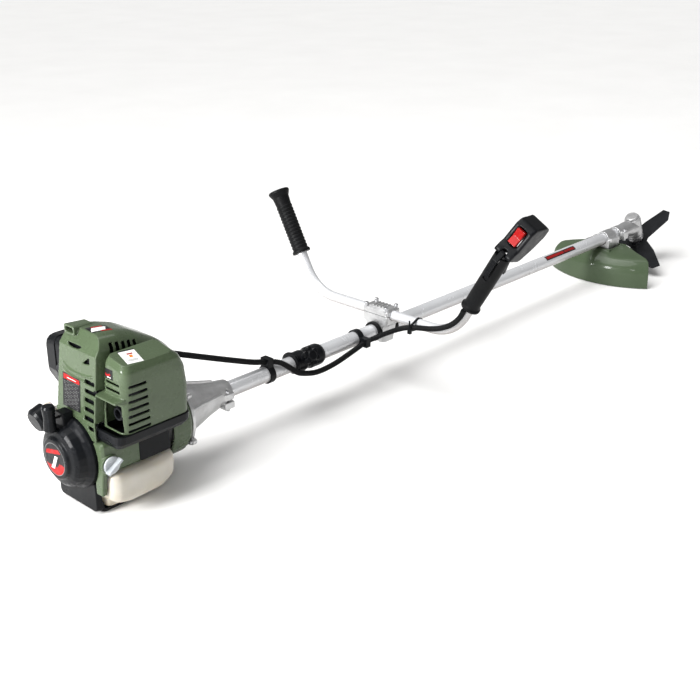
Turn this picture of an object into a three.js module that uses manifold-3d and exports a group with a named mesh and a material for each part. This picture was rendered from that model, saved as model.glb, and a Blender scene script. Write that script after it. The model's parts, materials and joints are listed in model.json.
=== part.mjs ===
// Four-stroke brush cutter with a bicycle handlebar, a split shaft and a three-tooth blade.
// Units are millimetres. X runs forward along the shaft, Y to the operator's left, Z up.
// Every dimension below is measured from the crank and shaft axis; the whole machine is then
// lifted by axisHeight, so that the foot under the engine stands on Z = 0.
import * as THREE from 'three';
import { mergeVertices } from 'three/addons/utils/BufferGeometryUtils.js';
import Module from 'manifold-3d';

const wasm = await Module();
wasm.setup();

// ---------- driving dimensions ----------

const axisHeight = 96; // crank axis above the ground
const gap = 0.3; // clearance between pieces that touch

const cylinder = { x: 16, bore: 20 }; // vertical cylinder centre and bore radius
const tube = { outer: 14, inner: 12.4, rear: 206, split: 424, front: 1512 };
const shaftRadius = 4;
const barX = 624; // handlebar plane
const barZ = 33;
const barRadius = 10;
const barBend = new THREE.Vector3(barX, 172, barZ); // left corner of the handlebar
const gripStart = new THREE.Vector3(barX + 1, 213, 104); // left grip, lower end
const gripEnd = gripStart.clone().lerp(barBend, -1.61); // left grip, upper end
const gripRadius = 16.5;

const headTilt = THREE.MathUtils.degToRad(25); // blade plane rises this much towards the front
const headX = 1572; // where the output axis crosses the shaft axis
const bladeDrop = 40; // from the shaft axis to the blade, along the output axis
const bladeRadius = 127.5; // to the tips of the teeth
const guardReach = 210; // outer radius of the guard about the blade

// ---------- finishes ----------

const finishes = {
  greenPaint: { color: 0x5b7050, roughness: 0.32, metalness: 0.0 },
  guardGreen: { color: 0x4a5c3e, roughness: 0.45, metalness: 0.0 },
  blackPlastic: { color: 0x1a1c20, roughness: 0.5, metalness: 0.0 },
  rubber: { color: 0x141416, roughness: 0.8, metalness: 0.0 },
  castAlloy: { color: 0xa7a9ab, roughness: 0.45, metalness: 0.9 },
  silverTube: { color: 0xd5d8dc, roughness: 0.28, metalness: 0.6 },
  steel: { color: 0x8c9096, roughness: 0.35, metalness: 1.0 },
  darkSteel: { color: 0x2a2b2e, roughness: 0.5, metalness: 0.8 },
  tankPlastic: { color: 0xcfc8b8, roughness: 0.35, metalness: 0.0 },
  clearCap: { color: 0xb9c0c6, roughness: 0.25, metalness: 0.1 },
  redPlastic: { color: 0xc01512, roughness: 0.4, metalness: 0.0 },
  foam: { color: 0x3a3d3f, roughness: 0.95, metalness: 0.0 },
  copper: { color: 0x6a4a2e, roughness: 0.5, metalness: 0.5 },
};

// ---------- solids ----------

const vector = (x, y, z) => new THREE.Vector3(x, y, z);
const xAxis = vector(1, 0, 0);

/** Signed volume of an indexed triangle mesh; negative when its faces point inwards. */
function signedVolume(positions, index) {
  let six = 0;
  const [a, b, c] = [vector(), vector(), vector()];
  for (let i = 0; i < index.length; i += 3) {
    a.fromArray(positions, 3 * index[i]);
    b.fromArray(positions, 3 * index[i + 1]);
    c.fromArray(positions, 3 * index[i + 2]);
    six += a.dot(b.cross(c));
  }
  return six / 6;
}

/** Closed geometry to a manifold solid, with its faces turned outwards. */
function solid(geometry) {
  const bare = geometry.clone();
  bare.deleteAttribute('normal');
  bare.deleteAttribute('uv');
  const merged = mergeVertices(bare, 1e-4);
  const positions = merged.attributes.position.array;
  const triangles = [];
  const index = merged.index.array;
  for (let i = 0; i < index.length; i += 3) {
    const [a, b, c] = [index[i], index[i + 1], index[i + 2]];
    if (a !== b && b !== c && c !== a) triangles.push(a, b, c);
  }
  if (signedVolume(positions, triangles) < 0) triangles.reverse();
  return new wasm.Manifold(new wasm.Mesh({
    numProp: 3,
    vertProperties: positions,
    triVerts: Uint32Array.from(triangles),
  }));
}

const join = (first, ...others) => others.reduce((sum, other) => sum.add(other), first);
const cut = (body, ...tools) => tools.reduce((rest, tool) => rest.subtract(tool), body);

/** Box between two values on each axis. */
function block([x0, x1], [y0, y1], [z0, z1]) {
  const box = new THREE.BoxGeometry(x1 - x0, y1 - y0, z1 - z0);
  return solid(box.translate((x0 + x1) / 2, (y0 + y1) / 2, (z0 + z1) / 2));
}

/** Turns a geometry built along X so that it runs from origin along direction. */
function aim(geometry, origin, direction) {
  const turn = new THREE.Quaternion().setFromUnitVectors(xAxis, direction.clone().normalize());
  return geometry.applyQuaternion(turn).translate(origin.x, origin.y, origin.z);
}

/** Turned piece; profile is a list of [distance along the axis, radius]. */
function turned(profile, segments = 22, origin = vector(0, 0, 0), direction = xAxis) {
  const points = profile.map(([along, radius]) => new THREE.Vector2(radius, along));
  const lathe = new THREE.LatheGeometry(points, segments).rotateZ(-Math.PI / 2);
  return solid(aim(lathe, origin, direction));
}

/** Round bar from a to b. */
function rod(a, b, radius, segments = 14) {
  const direction = b.clone().sub(a);
  const length = direction.length();
  return turned([[0, 0], [0, radius], [length, radius], [length, 0]], segments, a, direction);
}

/** Washer, ring or pipe along an axis. */
function ring(from, to, inner, outer, segments = 22, origin = vector(0, 0, 0), direction = xAxis) {
  const profile = [[from, inner], [from, outer], [to, outer], [to, inner], [from, inner]];
  return turned(profile, segments, origin, direction);
}

/** Outline pushed along X; points are [y, z]. */
function plateX(points, from, to) {
  const shape = new THREE.Shape(points.map(([y, z]) => new THREE.Vector2(y, z)));
  const plate = new THREE.ExtrudeGeometry(shape, { depth: to - from, bevelEnabled: false });
  const toX = new THREE.Matrix4().makeBasis(vector(0, 1, 0), vector(0, 0, 1), xAxis);
  return solid(plate.applyMatrix4(toX).translate(from, 0, 0));
}

/** Outline pushed along Y; points are [x, z]. */
function plateY(points, from, to) {
  const shape = new THREE.Shape(points.map(([x, z]) => new THREE.Vector2(z, x)));
  const plate = new THREE.ExtrudeGeometry(shape, { depth: to - from, bevelEnabled: false });
  const toY = new THREE.Matrix4().makeBasis(vector(0, 0, 1), xAxis, vector(0, 1, 0));
  return solid(plate.applyMatrix4(toY).translate(0, from, 0));
}

/** Triangles that close a ring of points, as indices into it, wound the way the ring runs. */
function capFaces(points) {
  const normal = vector(0, 0, 0);
  points.forEach((p, i) => normal.add(p.clone().cross(points[(i + 1) % points.length])));
  const steepest = ['x', 'y', 'z'].reduce((m, k) => (Math.abs(normal[k]) > Math.abs(normal[m]) ? k : m));
  const [u, v] = { x: ['y', 'z'], y: ['z', 'x'], z: ['x', 'y'] }[steepest];
  const flat = points.map((p) => new THREE.Vector2(p[u], p[v]));
  const ringTurn = Math.sign(THREE.ShapeUtils.area(flat));
  return THREE.ShapeUtils.triangulateShape(flat, []).map(([i, j, k]) => {
    const faceTurn = Math.sign(THREE.ShapeUtils.area([flat[i], flat[j], flat[k]]));
    return faceTurn === ringTurn ? [i, j, k] : [i, k, j];
  });
}

/** Skin over a row of rings that have the same number of points; both ends are capped. */
function loft(rings) {
  const count = rings[0].length;
  const positions = rings.flat().flatMap((point) => point.toArray());
  const index = [];
  for (let r = 0; r + 1 < rings.length; r += 1) {
    for (let i = 0; i < count; i += 1) {
      const [a, b] = [r * count + i, r * count + (i + 1) % count];
      index.push(a, b, b + count, a, b + count, a + count);
    }
  }
  const lastStart = (rings.length - 1) * count;
  capFaces(rings[0]).forEach(([i, j, k]) => index.push(i, k, j));
  capFaces(rings.at(-1)).forEach((face) => index.push(...face.map((i) => i + lastStart)));
  const geometry = new THREE.BufferGeometry();
  geometry.setAttribute('position', new THREE.Float32BufferAttribute(positions, 3));
  geometry.setIndex(index);
  return solid(geometry);
}

/** Rounded rectangle as a list of 2-D points, with the same corner steps everywhere. */
function roundedOutline([u0, u1], [v0, v1], radius, steps = 4) {
  const corners = [[u1 - radius, v1 - radius, 0], [u0 + radius, v1 - radius, 1],
    [u0 + radius, v0 + radius, 2], [u1 - radius, v0 + radius, 3]];
  return corners.flatMap(([u, v, quarter]) => Array.from({ length: steps + 1 }, (_, i) => {
    const angle = (quarter + i / steps) * Math.PI / 2;
    return [u + radius * Math.cos(angle), v + radius * Math.sin(angle)];
  }));
}

const keep = (point) => point;

/** Loft of rounded rectangles across X; each row is [x, [y0, y1], [z0, z1], radius]. */
const loftX = (rows, steps = 3, warp = keep) => loft(rows.map(([x, y, z, radius]) => (
  roundedOutline(y, z, radius, steps).map(([v, w]) => warp(vector(x, v, w))))));

/** Loft of rounded rectangles across Z; each row is [z, [x0, x1], [y0, y1], radius]. */
const loftZ = (rows, steps = 3, warp = keep) => loft(rows.map(([z, x, y, radius]) => (
  roundedOutline(x, y, radius, steps).map(([v, w]) => warp(vector(v, w, z))))));

/** Loft of rounded rectangles across Y; each row is [y, [x0, x1], [z0, z1], radius]. */
const loftY = (rows, steps = 3) => loft(rows.map(([y, x, z, radius]) => (
  roundedOutline(z, x, radius, steps).map(([v, w]) => vector(w, y, v)))));

/** Round bar along a smooth curve through the given points. */
function bentRod(points, radius, steps, sides = 12, tension = 0.5) {
  const path = new THREE.CatmullRomCurve3(points, false, 'catmullrom', tension);
  const section = new THREE.Shape();
  section.absarc(0, 0, radius, 0, 2 * Math.PI);
  return solid(new THREE.ExtrudeGeometry(section, {
    extrudePath: path, steps, bevelEnabled: false, curveSegments: Math.round(sides / 2),
  }));
}

// ---------- the machine ----------

const machine = new THREE.Group();
machine.position.z = axisHeight;

/** Adds a finished solid as a named mesh. */
function add(name, body, finish) {
  const { vertProperties, triVerts } = body.getMesh();
  const geometry = new THREE.BufferGeometry();
  geometry.setAttribute('position', new THREE.Float32BufferAttribute(vertProperties, 3));
  geometry.setIndex(new THREE.Uint32BufferAttribute(triVerts, 1));
  geometry.computeVertexNormals();
  const mesh = new THREE.Mesh(geometry, new THREE.MeshStandardMaterial(finishes[finish]));
  mesh.name = name;
  machine.add(mesh);
}

// ---------- engine core ----------

const caseX = [-46, 70];

function addCrankcase() {
  const shell = loftX([[caseX[0], [-40, 40], [-30, 46], 12], [-38, [-45, 45], [-34, 50], 14],
    [62, [-45, 45], [-34, 50], 14], [caseX[1], [-40, 40], [-30, 46], 12]]);
  const chamber = turned([[-18, 0], [-18, 28], [50, 28], [50, 0]]);
  const shaftBore = turned([[-60, 0], [-60, 8.6], [100, 8.6], [100, 0]]);
  const bore = rod(vector(cylinder.x, 0, 0), vector(cylinder.x, 0, 60), cylinder.bore + 0.2, 24);
  add('crankcase', cut(shell, chamber, shaftBore, bore), 'castAlloy');
}

function addCrankshaft() {
  const rear = turned([[-58, 0], [-58, 6], [-46, 6], [-46, 8], [2, 8], [2, 0]]);
  const front = turned([[30, 0], [30, 8], [76, 8], [76, 7], [110, 7], [110, 0]]);
  const webs = [[-4, 6], [26, 36]].map(([from, to]) => turned([[from, 0], [from, 25], [to, 25], [to, 0]]));
  const pin = rod(vector(2, 0, 15), vector(30, 0, 15), 6);
  const starterCup = turned([[-66, 16], [-66, 20], [-50, 20], [-50, 0], [-54, 0], [-54, 16], [-66, 16]]);
  add('crankshaft', join(rear, front, ...webs, pin, starterCup), 'steel');
}

function addCylinder() {
  const x = cylinder.x;
  const barrel = rod(vector(x, 0, 50 + gap), vector(x, 0, 146), 24.5, 24);
  const fins = Array.from({ length: 6 }, (_, i) => block([x - 34, x + 34], [-32, 24.5], [68 + 12 * i, 71 + 12 * i]));
  const bore = rod(vector(x, 0, 40), vector(x, 0, 126), cylinder.bore, 24);
  const plugHole = rod(vector(x, 0, 118), vector(x, -60, 118), 6, 12);
  add('cylinder', cut(join(barrel, ...fins), bore, plugHole), 'castAlloy');
  const crown = rod(vector(x, 0, 88), vector(x, 0, 114), cylinder.bore - 0.3, 24);
  const skirt = rod(vector(x, 0, 80), vector(x, 0, 108), cylinder.bore - 3, 24);
  add('piston', cut(crown, skirt), 'castAlloy');
}

function addCylinderHead() {
  const x = cylinder.x;
  add('valve_cover', loftZ([[146 + gap, [x - 28, x + 28], [-24, 19], 8],
    [157, [x - 28, x + 28], [-24, 19], 8], [162, [x - 23, x + 20], [-19, 15], 7]]), 'blackPlastic');
  const plug = turned([[0, 0], [0, 4.5], [8, 4.5], [8, 8], [12, 8], [12, 7], [20, 7], [23, 4], [23, 0]], 12,
    vector(x, -24, 118), vector(0, -1, 0));
  add('spark_plug', plug, 'rubber');
}

const flywheelX = 78;

function addIgnition() {
  const core = block([flywheelX + 2, flywheelX + 18], [-13, 13], [51, 57]);
  const leg = block([caseX[1] + gap, flywheelX + 4], [-8, 8], [36, 57]);
  add('ignition_coil', join(core, leg.subtract(block([76, 90], [-9, 9], [30, 51]))), 'blackPlastic');
  const x = flywheelX;
  const disc = turned([[x, 7.2], [x, 49], [x + 4, 49], [x + 4, 14], [x + 20, 14], [x + 20, 7.2], [x, 7.2]], 28);
  const vanes = Array.from({ length: 12 }, (_, i) => {
    const vane = new THREE.BoxGeometry(16, 36, 2.4).translate(x + 11, 30, 0);
    return solid(vane.rotateX(i * Math.PI / 6));
  });
  add('flywheel_fan', join(disc, ...vanes), 'castAlloy');
}

const clutchX = 116;

function addClutch() {
  const shoeOutline = (sign) => {
    const arc = (radius, from, to) => Array.from({ length: 7 }, (_, i) => {
      const angle = from + (to - from) * i / 6;
      return [sign * radius * Math.cos(angle), radius * Math.sin(angle)];
    });
    return [...arc(27, -1.2, 1.2), ...arc(11, 1.0, -1.0)];
  };
  const shoes = [1, -1].map((sign) => plateX(shoeOutline(sign), clutchX + 5, clutchX + 20));
  const web = block([clutchX + 2, clutchX + 6], [-24, 24], [-8, 8]);
  const hub = turned([[98 + gap, 7.2], [98 + gap, 12], [clutchX + 6, 12], [clutchX + 6, 0], [110 + gap, 0],
    [110 + gap, 7.2], [98 + gap, 7.2]]);
  add('centrifugal_clutch', join(hub, web, ...shoes), 'steel');
  const drum = turned([[clutchX + 4, 29.5], [clutchX + 4, 33], [143, 33], [143, 12], [168, 12],
    [168, shaftRadius + gap], [140, shaftRadius + gap], [140, 29.5], [clutchX + 4, 29.5]], 28);
  add('clutch_drum', drum, 'steel');
}

function addFanCover() {
  const wall = turned([[76, 59], [76, 62], [108, 62], [clutchX, 57], [clutchX, 38], [clutchX - 3, 38],
    [clutchX - 3, 54], [107, 59], [76, 59]], 32);
  const coilRoom = block([70, 100], [-15, 15], [50, 64]);
  add('fan_cover', wall.subtract(coilRoom), 'greenPaint');
}

function addClutchHousing() {
  const [rear, front] = [clutchX + gap, 233];
  const outline = [[rear, 36], [rear, 58.5], [122, 58.5], [125, 45], [150, 39], [180, 30], [206, 24], [front, 20]];
  const bore = turned([[100, 0], [100, 36], [145, 36], [147, 12 + gap], [169, 12 + gap], [169, 8], [204, 8],
    [204, tube.outer + gap], [260, tube.outer + gap], [260, 0]], 28);
  const shell = turned([[rear, 0], ...outline.slice(1), [front, 0]], 32);
  const envelope = turned([[rear, 0], [rear, 57], [126, 57], [150, 44], [206, 28], [206, 0]], 32);
  const ribs = [20, 90, 160, 270].map((degrees) => {
    const rib = new THREE.BoxGeometry(84, 4, 40).translate(162, 0, 40);
    return solid(rib.rotateX(THREE.MathUtils.degToRad(degrees - 90))).intersect(envelope);
  });
  const ears = [[-22, -10], [-6, 5]].map((z) => block([210, 231], [-25, -12], z));
  const screwHole = rod(vector(220, -19.5, -40), vector(220, -19.5, 20), 2.6, 12);
  add('clutch_housing', cut(join(shell, ...ribs, ...ears), bore, screwHole), 'castAlloy');
}

// ---------- recoil starter ----------

const recoilX = [-97, -52];
const gripAt = vector(-96, 4, 62); // middle of the starter grip
const archRadius = 58.5; // the green covers stop this far from the crank axis

function addRecoilStarter() {
  const outer = turned([[-52, 0], [-52, 57], [-66, 57], [-70, 54], [-74, 50], [-86, 47], [-90, 42], [-92, 34],
    [-96, 32], [-97, 30], [-97, 0]], 28);
  const inner = turned([[-50, 0], [-50, 54], [-65, 54], [-72, 46.5], [-84, 44], [-88, 38], [-90, 31],
    [-94, 28], [-94, 0]], 28);
  const skirt = loftX([[-52, [-44, 56], [-92, -40], 8], [-61, [-42, 54], [-90, -40], 8]]);
  const skirtCore = loftX([[-50, [-41, 53], [-89, -38], 6], [-58, [-39, 51], [-87, -38], 6]]);
  const guide = block([-80, -62.5], [gripAt.y - 10, gripAt.y + 10], [40, 69]);
  const ropeHole = rod(vector(-50, gripAt.y, gripAt.z), vector(-95, gripAt.y, gripAt.z), 2.2, 12);
  const post = turned([[-95, 0], [-95, 2.7], [-70, 2.7], [-70, 0]], 12);
  const shell = cut(join(outer, skirt, guide), inner, skirtCore, ropeHole);
  add('recoil_housing', join(shell, post), 'blackPlastic');
  const pulley = turned([[-80, 3], [-80, 34], [-78, 36], [-76, 30], [-74, 36], [-72, 34], [-72, 3],
    [-80, 3]], 28);
  add('starter_pulley', pulley, 'blackPlastic');
  const { x, y, z } = gripAt;
  const grip = turned([[0, 0], [0, 8], [3, 10], [20, 8.6], [37, 10], [41, 8], [41, 0]], 20,
    vector(x, y, z - 18), vector(0, 0, 1));
  add('starter_grip', grip, 'blackPlastic');
}

// ---------- covers ----------

const coverRows = [
  [-62, [-60, 33], [50, 186], 20], [-50, [-62, 33], [50, 190], 22], [-30, [-62, 33], [50, 191], 24],
  [-5, [-62, 33], [50, 189], 26], [25, [-61, 33], [50, 180], 28], [50, [-59, 33], [50, 166], 28],
  [72, [-57, 32], [50, 153], 26], [90, [-53, 30], [50, 138], 24], [104, [-46, 26], [50, 118], 20],
  [112, [-38, 20], [50, 102], 16],
];

const inset = (rows, wall) => rows.map(([x, [y0, y1], [z0, z1], radius], i) => [
  i === 0 ? x + wall : x - (i === rows.length - 1 ? wall : 0),
  [y0 + wall, y1 - wall], [z0 - 40, z1 - wall], radius - wall / 2]);

/** The tall covers lean to the operator's right as they rise. */
function lean(point) {
  const rise = THREE.MathUtils.clamp((point.z - 50) / 120, 0, 1);
  const width = point.y < 0 ? 0.97 + 0.05 * rise : 1.14 - 0.32 * rise;
  return point.setY(point.y * width);
}

const mufflerRows = [
  [55, [-46, 73], [-108, -49], 12], [100, [-46, 72], [-114, -57], 14], [135, [-46, 65], [-118, -63], 14],
  [153, [-45, 55], [-118, -67], 12], [160, [-39, 43], [-112, -72], 9],
];

/** The roof of the muffler cover falls towards the outside. */
function roofFall(point) {
  const rise = THREE.MathUtils.clamp((point.z - 110) / 50, 0, 1);
  return point.setZ(point.z + rise * 0.2 * (point.y + 118));
}

function addTopCover() {
  const wall = 2.8;
  const backSlope = [[-70, 48], [-62, 56], [-52, 165], [-36, 191], [-36, 220], [-90, 220], [-90, 48]];
  const innerSlope = backSlope.map(([x, z]) => [x + 2.8, z - 1.2]);
  const outer = loftX(coverRows, 3, lean).subtract(plateY(backSlope, -90, 60));
  const inner = loftX(inset(coverRows, wall), 3, lean).subtract(plateY(innerSlope, -90, 60));
  const duct = loftX([[-47, [-6, 20], [181, 195], 4], [-14, [-4, 18], [172, 193], 4]]);
  const ductMouth = loftX([[-60, [-3, 17], [184, 192], 3], [-30, [-2, 16], [183, 191], 3]]);
  const apron = block([-62, -59.2], [-58, 38], [33.6, 64]);
  const inletRoom = block([cylinder.x - 11, cylinder.x + 11], [-75, -40], [85, 107]);
  const recoilArch = turned([[-90, 0], [-90, archRadius], [-40, archRadius], [-40, 0]], 32);
  const fanArch = turned([[60, 0], [60, 64], [130, 64], [130, 0]], 32);
  const room = ([z, [x0, x1], [y0, y1], radius]) => [z + gap, [x0 - gap, x1 + gap], [y0 - gap, y1 + gap], radius];
  const [lowest, ...others] = mufflerRows.map(room);
  const muffler = loftZ([[40, ...lowest.slice(1)], lowest, ...others], 4, roofFall);
  const visorRoom = block([-60, -42], [-114, -56], [105, 114]);
  const rearSlots = Array.from({ length: 6 }, (_, i) => (
    block([-70, -44], [-55 - 0.6 * i, (i === 0 ? -42 : -32) - 0.6 * i], [49 + 14 * i, 56 + 14 * i])));
  const shoulderSlots = Array.from({ length: 5 }, (_, i) => (
    block([-20 + 11 * i, -15 + 11 * i], [-70, -46], [160 - i, 176 - 2 * i])));
  const intakeWindow = block([-6, 43], [20, 44], [74, 118]);
  const shell = cut(join(outer, apron, duct), inner.subtract(plateY(innerSlope, -90, 60)));
  add('top_cover', cut(shell, recoilArch, fanArch, muffler, ...rearSlots, ...shoulderSlots, intakeWindow,
    ductMouth, inletRoom, visorRoom), 'greenPaint');
}

function addMuffler() {
  const wall = 2.5;
  const outer = loftZ(mufflerRows, 4, roofFall);
  const inner = loftZ(mufflerRows.map(([z, [x0, x1], [y0, y1], radius], i) => [
    z - (i === 0 ? 2 : wall), [x0 + wall, x1 - wall], [y0 + wall, y1 - wall], radius - wall / 2]), 4, roofFall);
  const opening = block([-60, -30], [-104, -65], [58, 100]);
  const visor = loftX([[-58, [-108, -61], [107, 110], 1], [-43, [-112, -58.5], [106, 113], 1]], 1);
  const rearSlits = [119, 130].map((z) => block([-60, -30], [-104, -70], [z, z + 3.5]));
  const sideSlots = Array.from({ length: 7 }, (_, i) => (
    block([-38, 1 - 1.5 * i], [-125, -104], [57 + 12 * i, 61 + 12 * i])));
  const inletRoom = block([cylinder.x - 11, cylinder.x + 11], [-75, -40], [85, 107]);
  const cover = cut(outer, inner, opening, ...rearSlits, ...sideSlots, inletRoom);
  add('muffler_cover', cover.add(visor.subtract(inner)), 'greenPaint');
  const can = loftX([[-30, [-102, -70], [66, 132], 8], [-26, [-104, -68], [64, 134], 10],
    [44, [-104, -68], [64, 134], 10], [48, [-102, -70], [66, 132], 8]]);
  const outlet = ring(-38, -28, 7, 10, 16, vector(0, -84, 80));
  const throat = rod(vector(-40, -84, 80), vector(-10, -84, 80), 7);
  const inlet = rod(vector(cylinder.x, -72, 96), vector(cylinder.x, -32 - gap, 96), 9);
  add('muffler', cut(join(can, outlet, inlet), throat), 'darkSteel');
  const tray = loftZ([[34, [-54, 66], [-102, -48], 8], [42, [-57, 74], [-108, -46.5], 10],
    [54.7, [-57, 75], [-110, -46.5], 12]]);
  const trayCore = loftZ([[45, [-52, 70], [-105, -49.5], 8], [60, [-52, 70], [-105, -49.5], 8]]);
  add('muffler_tray', tray.subtract(trayCore), 'blackPlastic');
}

const oilFiller = vector(-51, -71, 0);

function addSideCover() {
  const side = loftX([[-62, [-68, -45.5], [-16, 30], 4], [-58, [-71, -45.5], [-17.5, 33], 5],
    [44, [-71, -45.5], [-17.5, 33], 5], [60, [-62, -45.5], [-14, 30], 5]], 2);
  const leg = loftZ([[-54, [-62, -53], [-62, -46], 2], [-10, [-62, -53], [-69, -46], 2]], 2);
  const shell = join(side, leg);
  const recoilArch = turned([[-90, 0], [-90, archRadius], [-51, archRadius], [-51, 0]], 32);
  const { x, y } = oilFiller;
  const port = rod(vector(x, -30, 0), vector(x, -80, 0), 8);
  const collar = ring(-2, 3, 8, 15, 20, vector(x, y, 0), vector(0, -1, 0));
  const hollow = block([-36, 50], [-64, -40], [-12, 26]);
  add('side_cover', join(cut(shell, port, hollow, recoilArch), collar), 'greenPaint');
  const cap = turned([[0, 0], [0, 13.5], [3, 14], [4, 12], [4, 0]], 24, vector(x, y - 4 - gap, 0), vector(0, -1, 0));
  const wing = new THREE.BoxGeometry(30, 9, 4.4).rotateY(-0.6).translate(x, y - 12, 0);
  const stem = rod(vector(x, y + 8, 0), vector(x, y - 6, 0), 7.4);
  add('oil_cap', join(cap, stem, solid(wing)), 'clearCap');
}

function addAirCleaner() {
  const body = loftY([[46, [-34, 32], [72, 152], 8], [68, [-36, 34], [66, 156], 10]]);
  const port = rod(vector(cylinder.x, 40, 96), vector(cylinder.x, 80, 96), 9);
  const hollow = block([-28, 26], [52, 70], [76, 150]);
  const primerBase = block([-2, 26], [47, 66], [38, 68]);
  const primerRoom = rod(vector(12, 59, 49), vector(12, 70, 49), 10.6, 16);
  add('air_cleaner_base', cut(join(body, primerBase), port, hollow, primerRoom), 'blackPlastic');
  const rows = [[68 + gap, [-37, 35], [62, 157], 12], [90, [-37, 35], [61, 154], 14],
    [99, [-31, 29], [66, 147], 14]];
  const outer = loftY(rows);
  const inner = loftY(rows.map(([y, [x0, x1], [z0, z1], radius], i) => [y - (i === 2 ? 2.4 : 0.5),
    [x0 + 2.4, x1 - 2.4], [z0 + 2.4, z1 - 2.4], radius - 1.2]));
  const corner = plateY([[-60, 40], [-60, 104], [-38, 104], [-12, 56], [-12, 40]], 60, 110);
  const cornerCore = plateY([[-60, 40], [-60, 110], [-35, 108], [-8, 58], [-8, 40]], 60, 110);
  const front = outer.subtract(corner);
  add('air_cleaner_cover', front.subtract(inner.subtract(cornerCore)), 'blackPlastic');
  const foam = loftY([[71, [-28, 26], [76, 144], 8], [86, [-28, 26], [76, 144], 8]]);
  add('air_filter', foam.subtract(cornerCore), 'foam');
  const bulb = turned([[0, 0], [0, 10], [4, 9.5], [8, 6.5], [10, 0]], 16, vector(12, 66 + gap, 49), vector(0, 1, 0));
  add('primer_bulb', bulb, 'clearCap');
  const lever = join(rod(vector(-40.5, 57, 110), vector(-37, 57, 110), 6),
    block([-40.5, -37.5], [54, 60], [84, 110]));
  add('choke_lever', lever, 'blackPlastic');
}

function addCarburetor() {
  const x = cylinder.x;
  const flange = rod(vector(x, 24.5 + gap, 96), vector(x, 45.7, 96), 13);
  const body = join(block([x - 15, x + 15], [31, 43], [80, 112]), flange);
  const throat = rod(vector(x, 20, 96), vector(x, 50, 96), 7.5);
  add('carburetor', cut(body, throat), 'castAlloy');
  const arm = join(rod(vector(x, 37, 112 + gap), vector(x, 37, 115.5), 5),
    block([x, x + 22], [35, 39], [112.6, 115]));
  add('throttle_arm', arm, 'steel');
}

// ---------- tank and foot ----------

const filler = { base: vector(-50, 75, 38), direction: vector(-0.95, 0, -0.3).normalize() };

function addFuelSystem() {
  const rows = (wall) => [[-51.5 + wall, [-72, 74], [-64, -24], 12], [-42, [-80, 82], [-70, -19], 12],
    [-20, [-82, 84], [-74, -18], 14], [35, [-82, 84], [-72, -18], 14], [58, [-78, 82], [-62, -18], 12],
    [68 - wall, [-66, 70], [-56, -22], 10]].map(([x, [y0, y1], [z0, z1], radius]) => (
    [x, [y0 + wall, y1 - wall], [z0 + wall, z1 - wall], radius - wall / 2]));
  const belly = (wall) => loftZ([[-88 + wall, [-44 + wall, 46 - wall], [-46 + wall, 50 - wall], 10 - wall / 2],
    [-60, [-48 + wall, 52 - wall], [-52 + wall, 56 - wall], 10 - wall / 2]]);
  const lobe = (wall) => loftZ([[-50, [-51.5 + wall, -10 - wall], [62 + wall, 82 - wall], 6 - wall / 2],
    [-10, [-51.5 + wall, -30 - wall], [62 + wall, 90 - wall], 6 - wall / 2],
    [40 - wall, [-51.5 + wall, -32 - wall], [64 + wall, 89 - wall], 6 - wall / 2]]);
  const saddle = (room) => block([-100, 100], [-45.5 - room, 45.5 + room], [-34.5 - room, 60]);
  const { base, direction } = filler;
  const neck = turned([[-6, 0], [-6, 15], [16, 15], [16, 0]], 20, base, direction);
  const neckBore = turned([[-2, 0], [-2, 12], [30, 12], [30, 0]], 20, base, direction);
  const outer = join(loftX(rows(0)).subtract(saddle(0)), belly(0), lobe(0), neck);
  const core = join(loftX(rows(3)).subtract(saddle(3)), belly(3), lobe(3), neckBore);
  add('fuel_tank', outer.subtract(core), 'tankPlastic');
  const grooves = Array.from({ length: 10 }, (_, i) => {
    const groove = new THREE.BoxGeometry(22, 6, 5).translate(20, 0, 22.3);
    return solid(aim(groove.rotateX(i * Math.PI / 5), base, direction));
  });
  const cap = turned([[9, 15 + gap], [9, 20], [27, 20], [32, 16], [32, 0], [16 + gap, 0], [16 + gap, 15 + gap],
    [9, 15 + gap]], 30, base, direction);
  add('fuel_cap', cut(cap, ...grooves), 'blackPlastic');
}

function addFoot() {
  const plate = loftZ([[-axisHeight, [-50, 54], [-38, 60], 8], [-94, [-51, 56], [-40, 62], 8],
    [-88 - gap, [-51, 58], [-42, 64], 8]]);
  const posts = [[-51, -46], [48.5, 54]].flatMap((x) => [[-40, -20], [20, 40]].map((y) => block(x, y, [-92, -78])));
  const lip = block([56, 68], [-30, 30], [-axisHeight, -88 - gap]);
  const belly = loftZ([[-88 - gap, [-44 - gap, 46 + gap], [-46 - gap, 50 + gap], 9],
    [-60, [-48 - gap, 52 + gap], [-52 - gap, 56 + gap], 9]]);
  add('engine_foot', cut(join(plate, lip, ...posts), belly), 'blackPlastic');
}

// ---------- shaft ----------

function addShaft() {
  add('rear_tube', ring(tube.rear, tube.split - gap, tube.inner, tube.outer, 28), 'silverTube');
  add('front_tube', ring(tube.split + gap, tube.front, tube.inner, tube.outer, 28), 'silverTube');
  const socket = ring(tube.split - 22, tube.split + 4, shaftRadius + 0.5, 7.5, 16);
  const rearRod = rod(vector(142, 0, 0), vector(tube.split - 20, 0, 0), shaftRadius, 12);
  const web = rod(vector(tube.split - 24, 0, 0), vector(tube.split - 20, 0, 0), 7.5);
  add('rear_drive_shaft', join(rearRod, socket, web), 'steel');
  add('front_drive_shaft', rod(vector(tube.split - 14, 0, 0), vector(1520, 0, 0), shaftRadius, 12), 'steel');
  add('shaft_bush', ring(900, 924, shaftRadius + 0.4, tube.inner - gap, 20), 'copper');
}

const knob = { centre: vector(404, -24.5, 15), axis: vector(0, -0.857, 0.515) };

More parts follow.
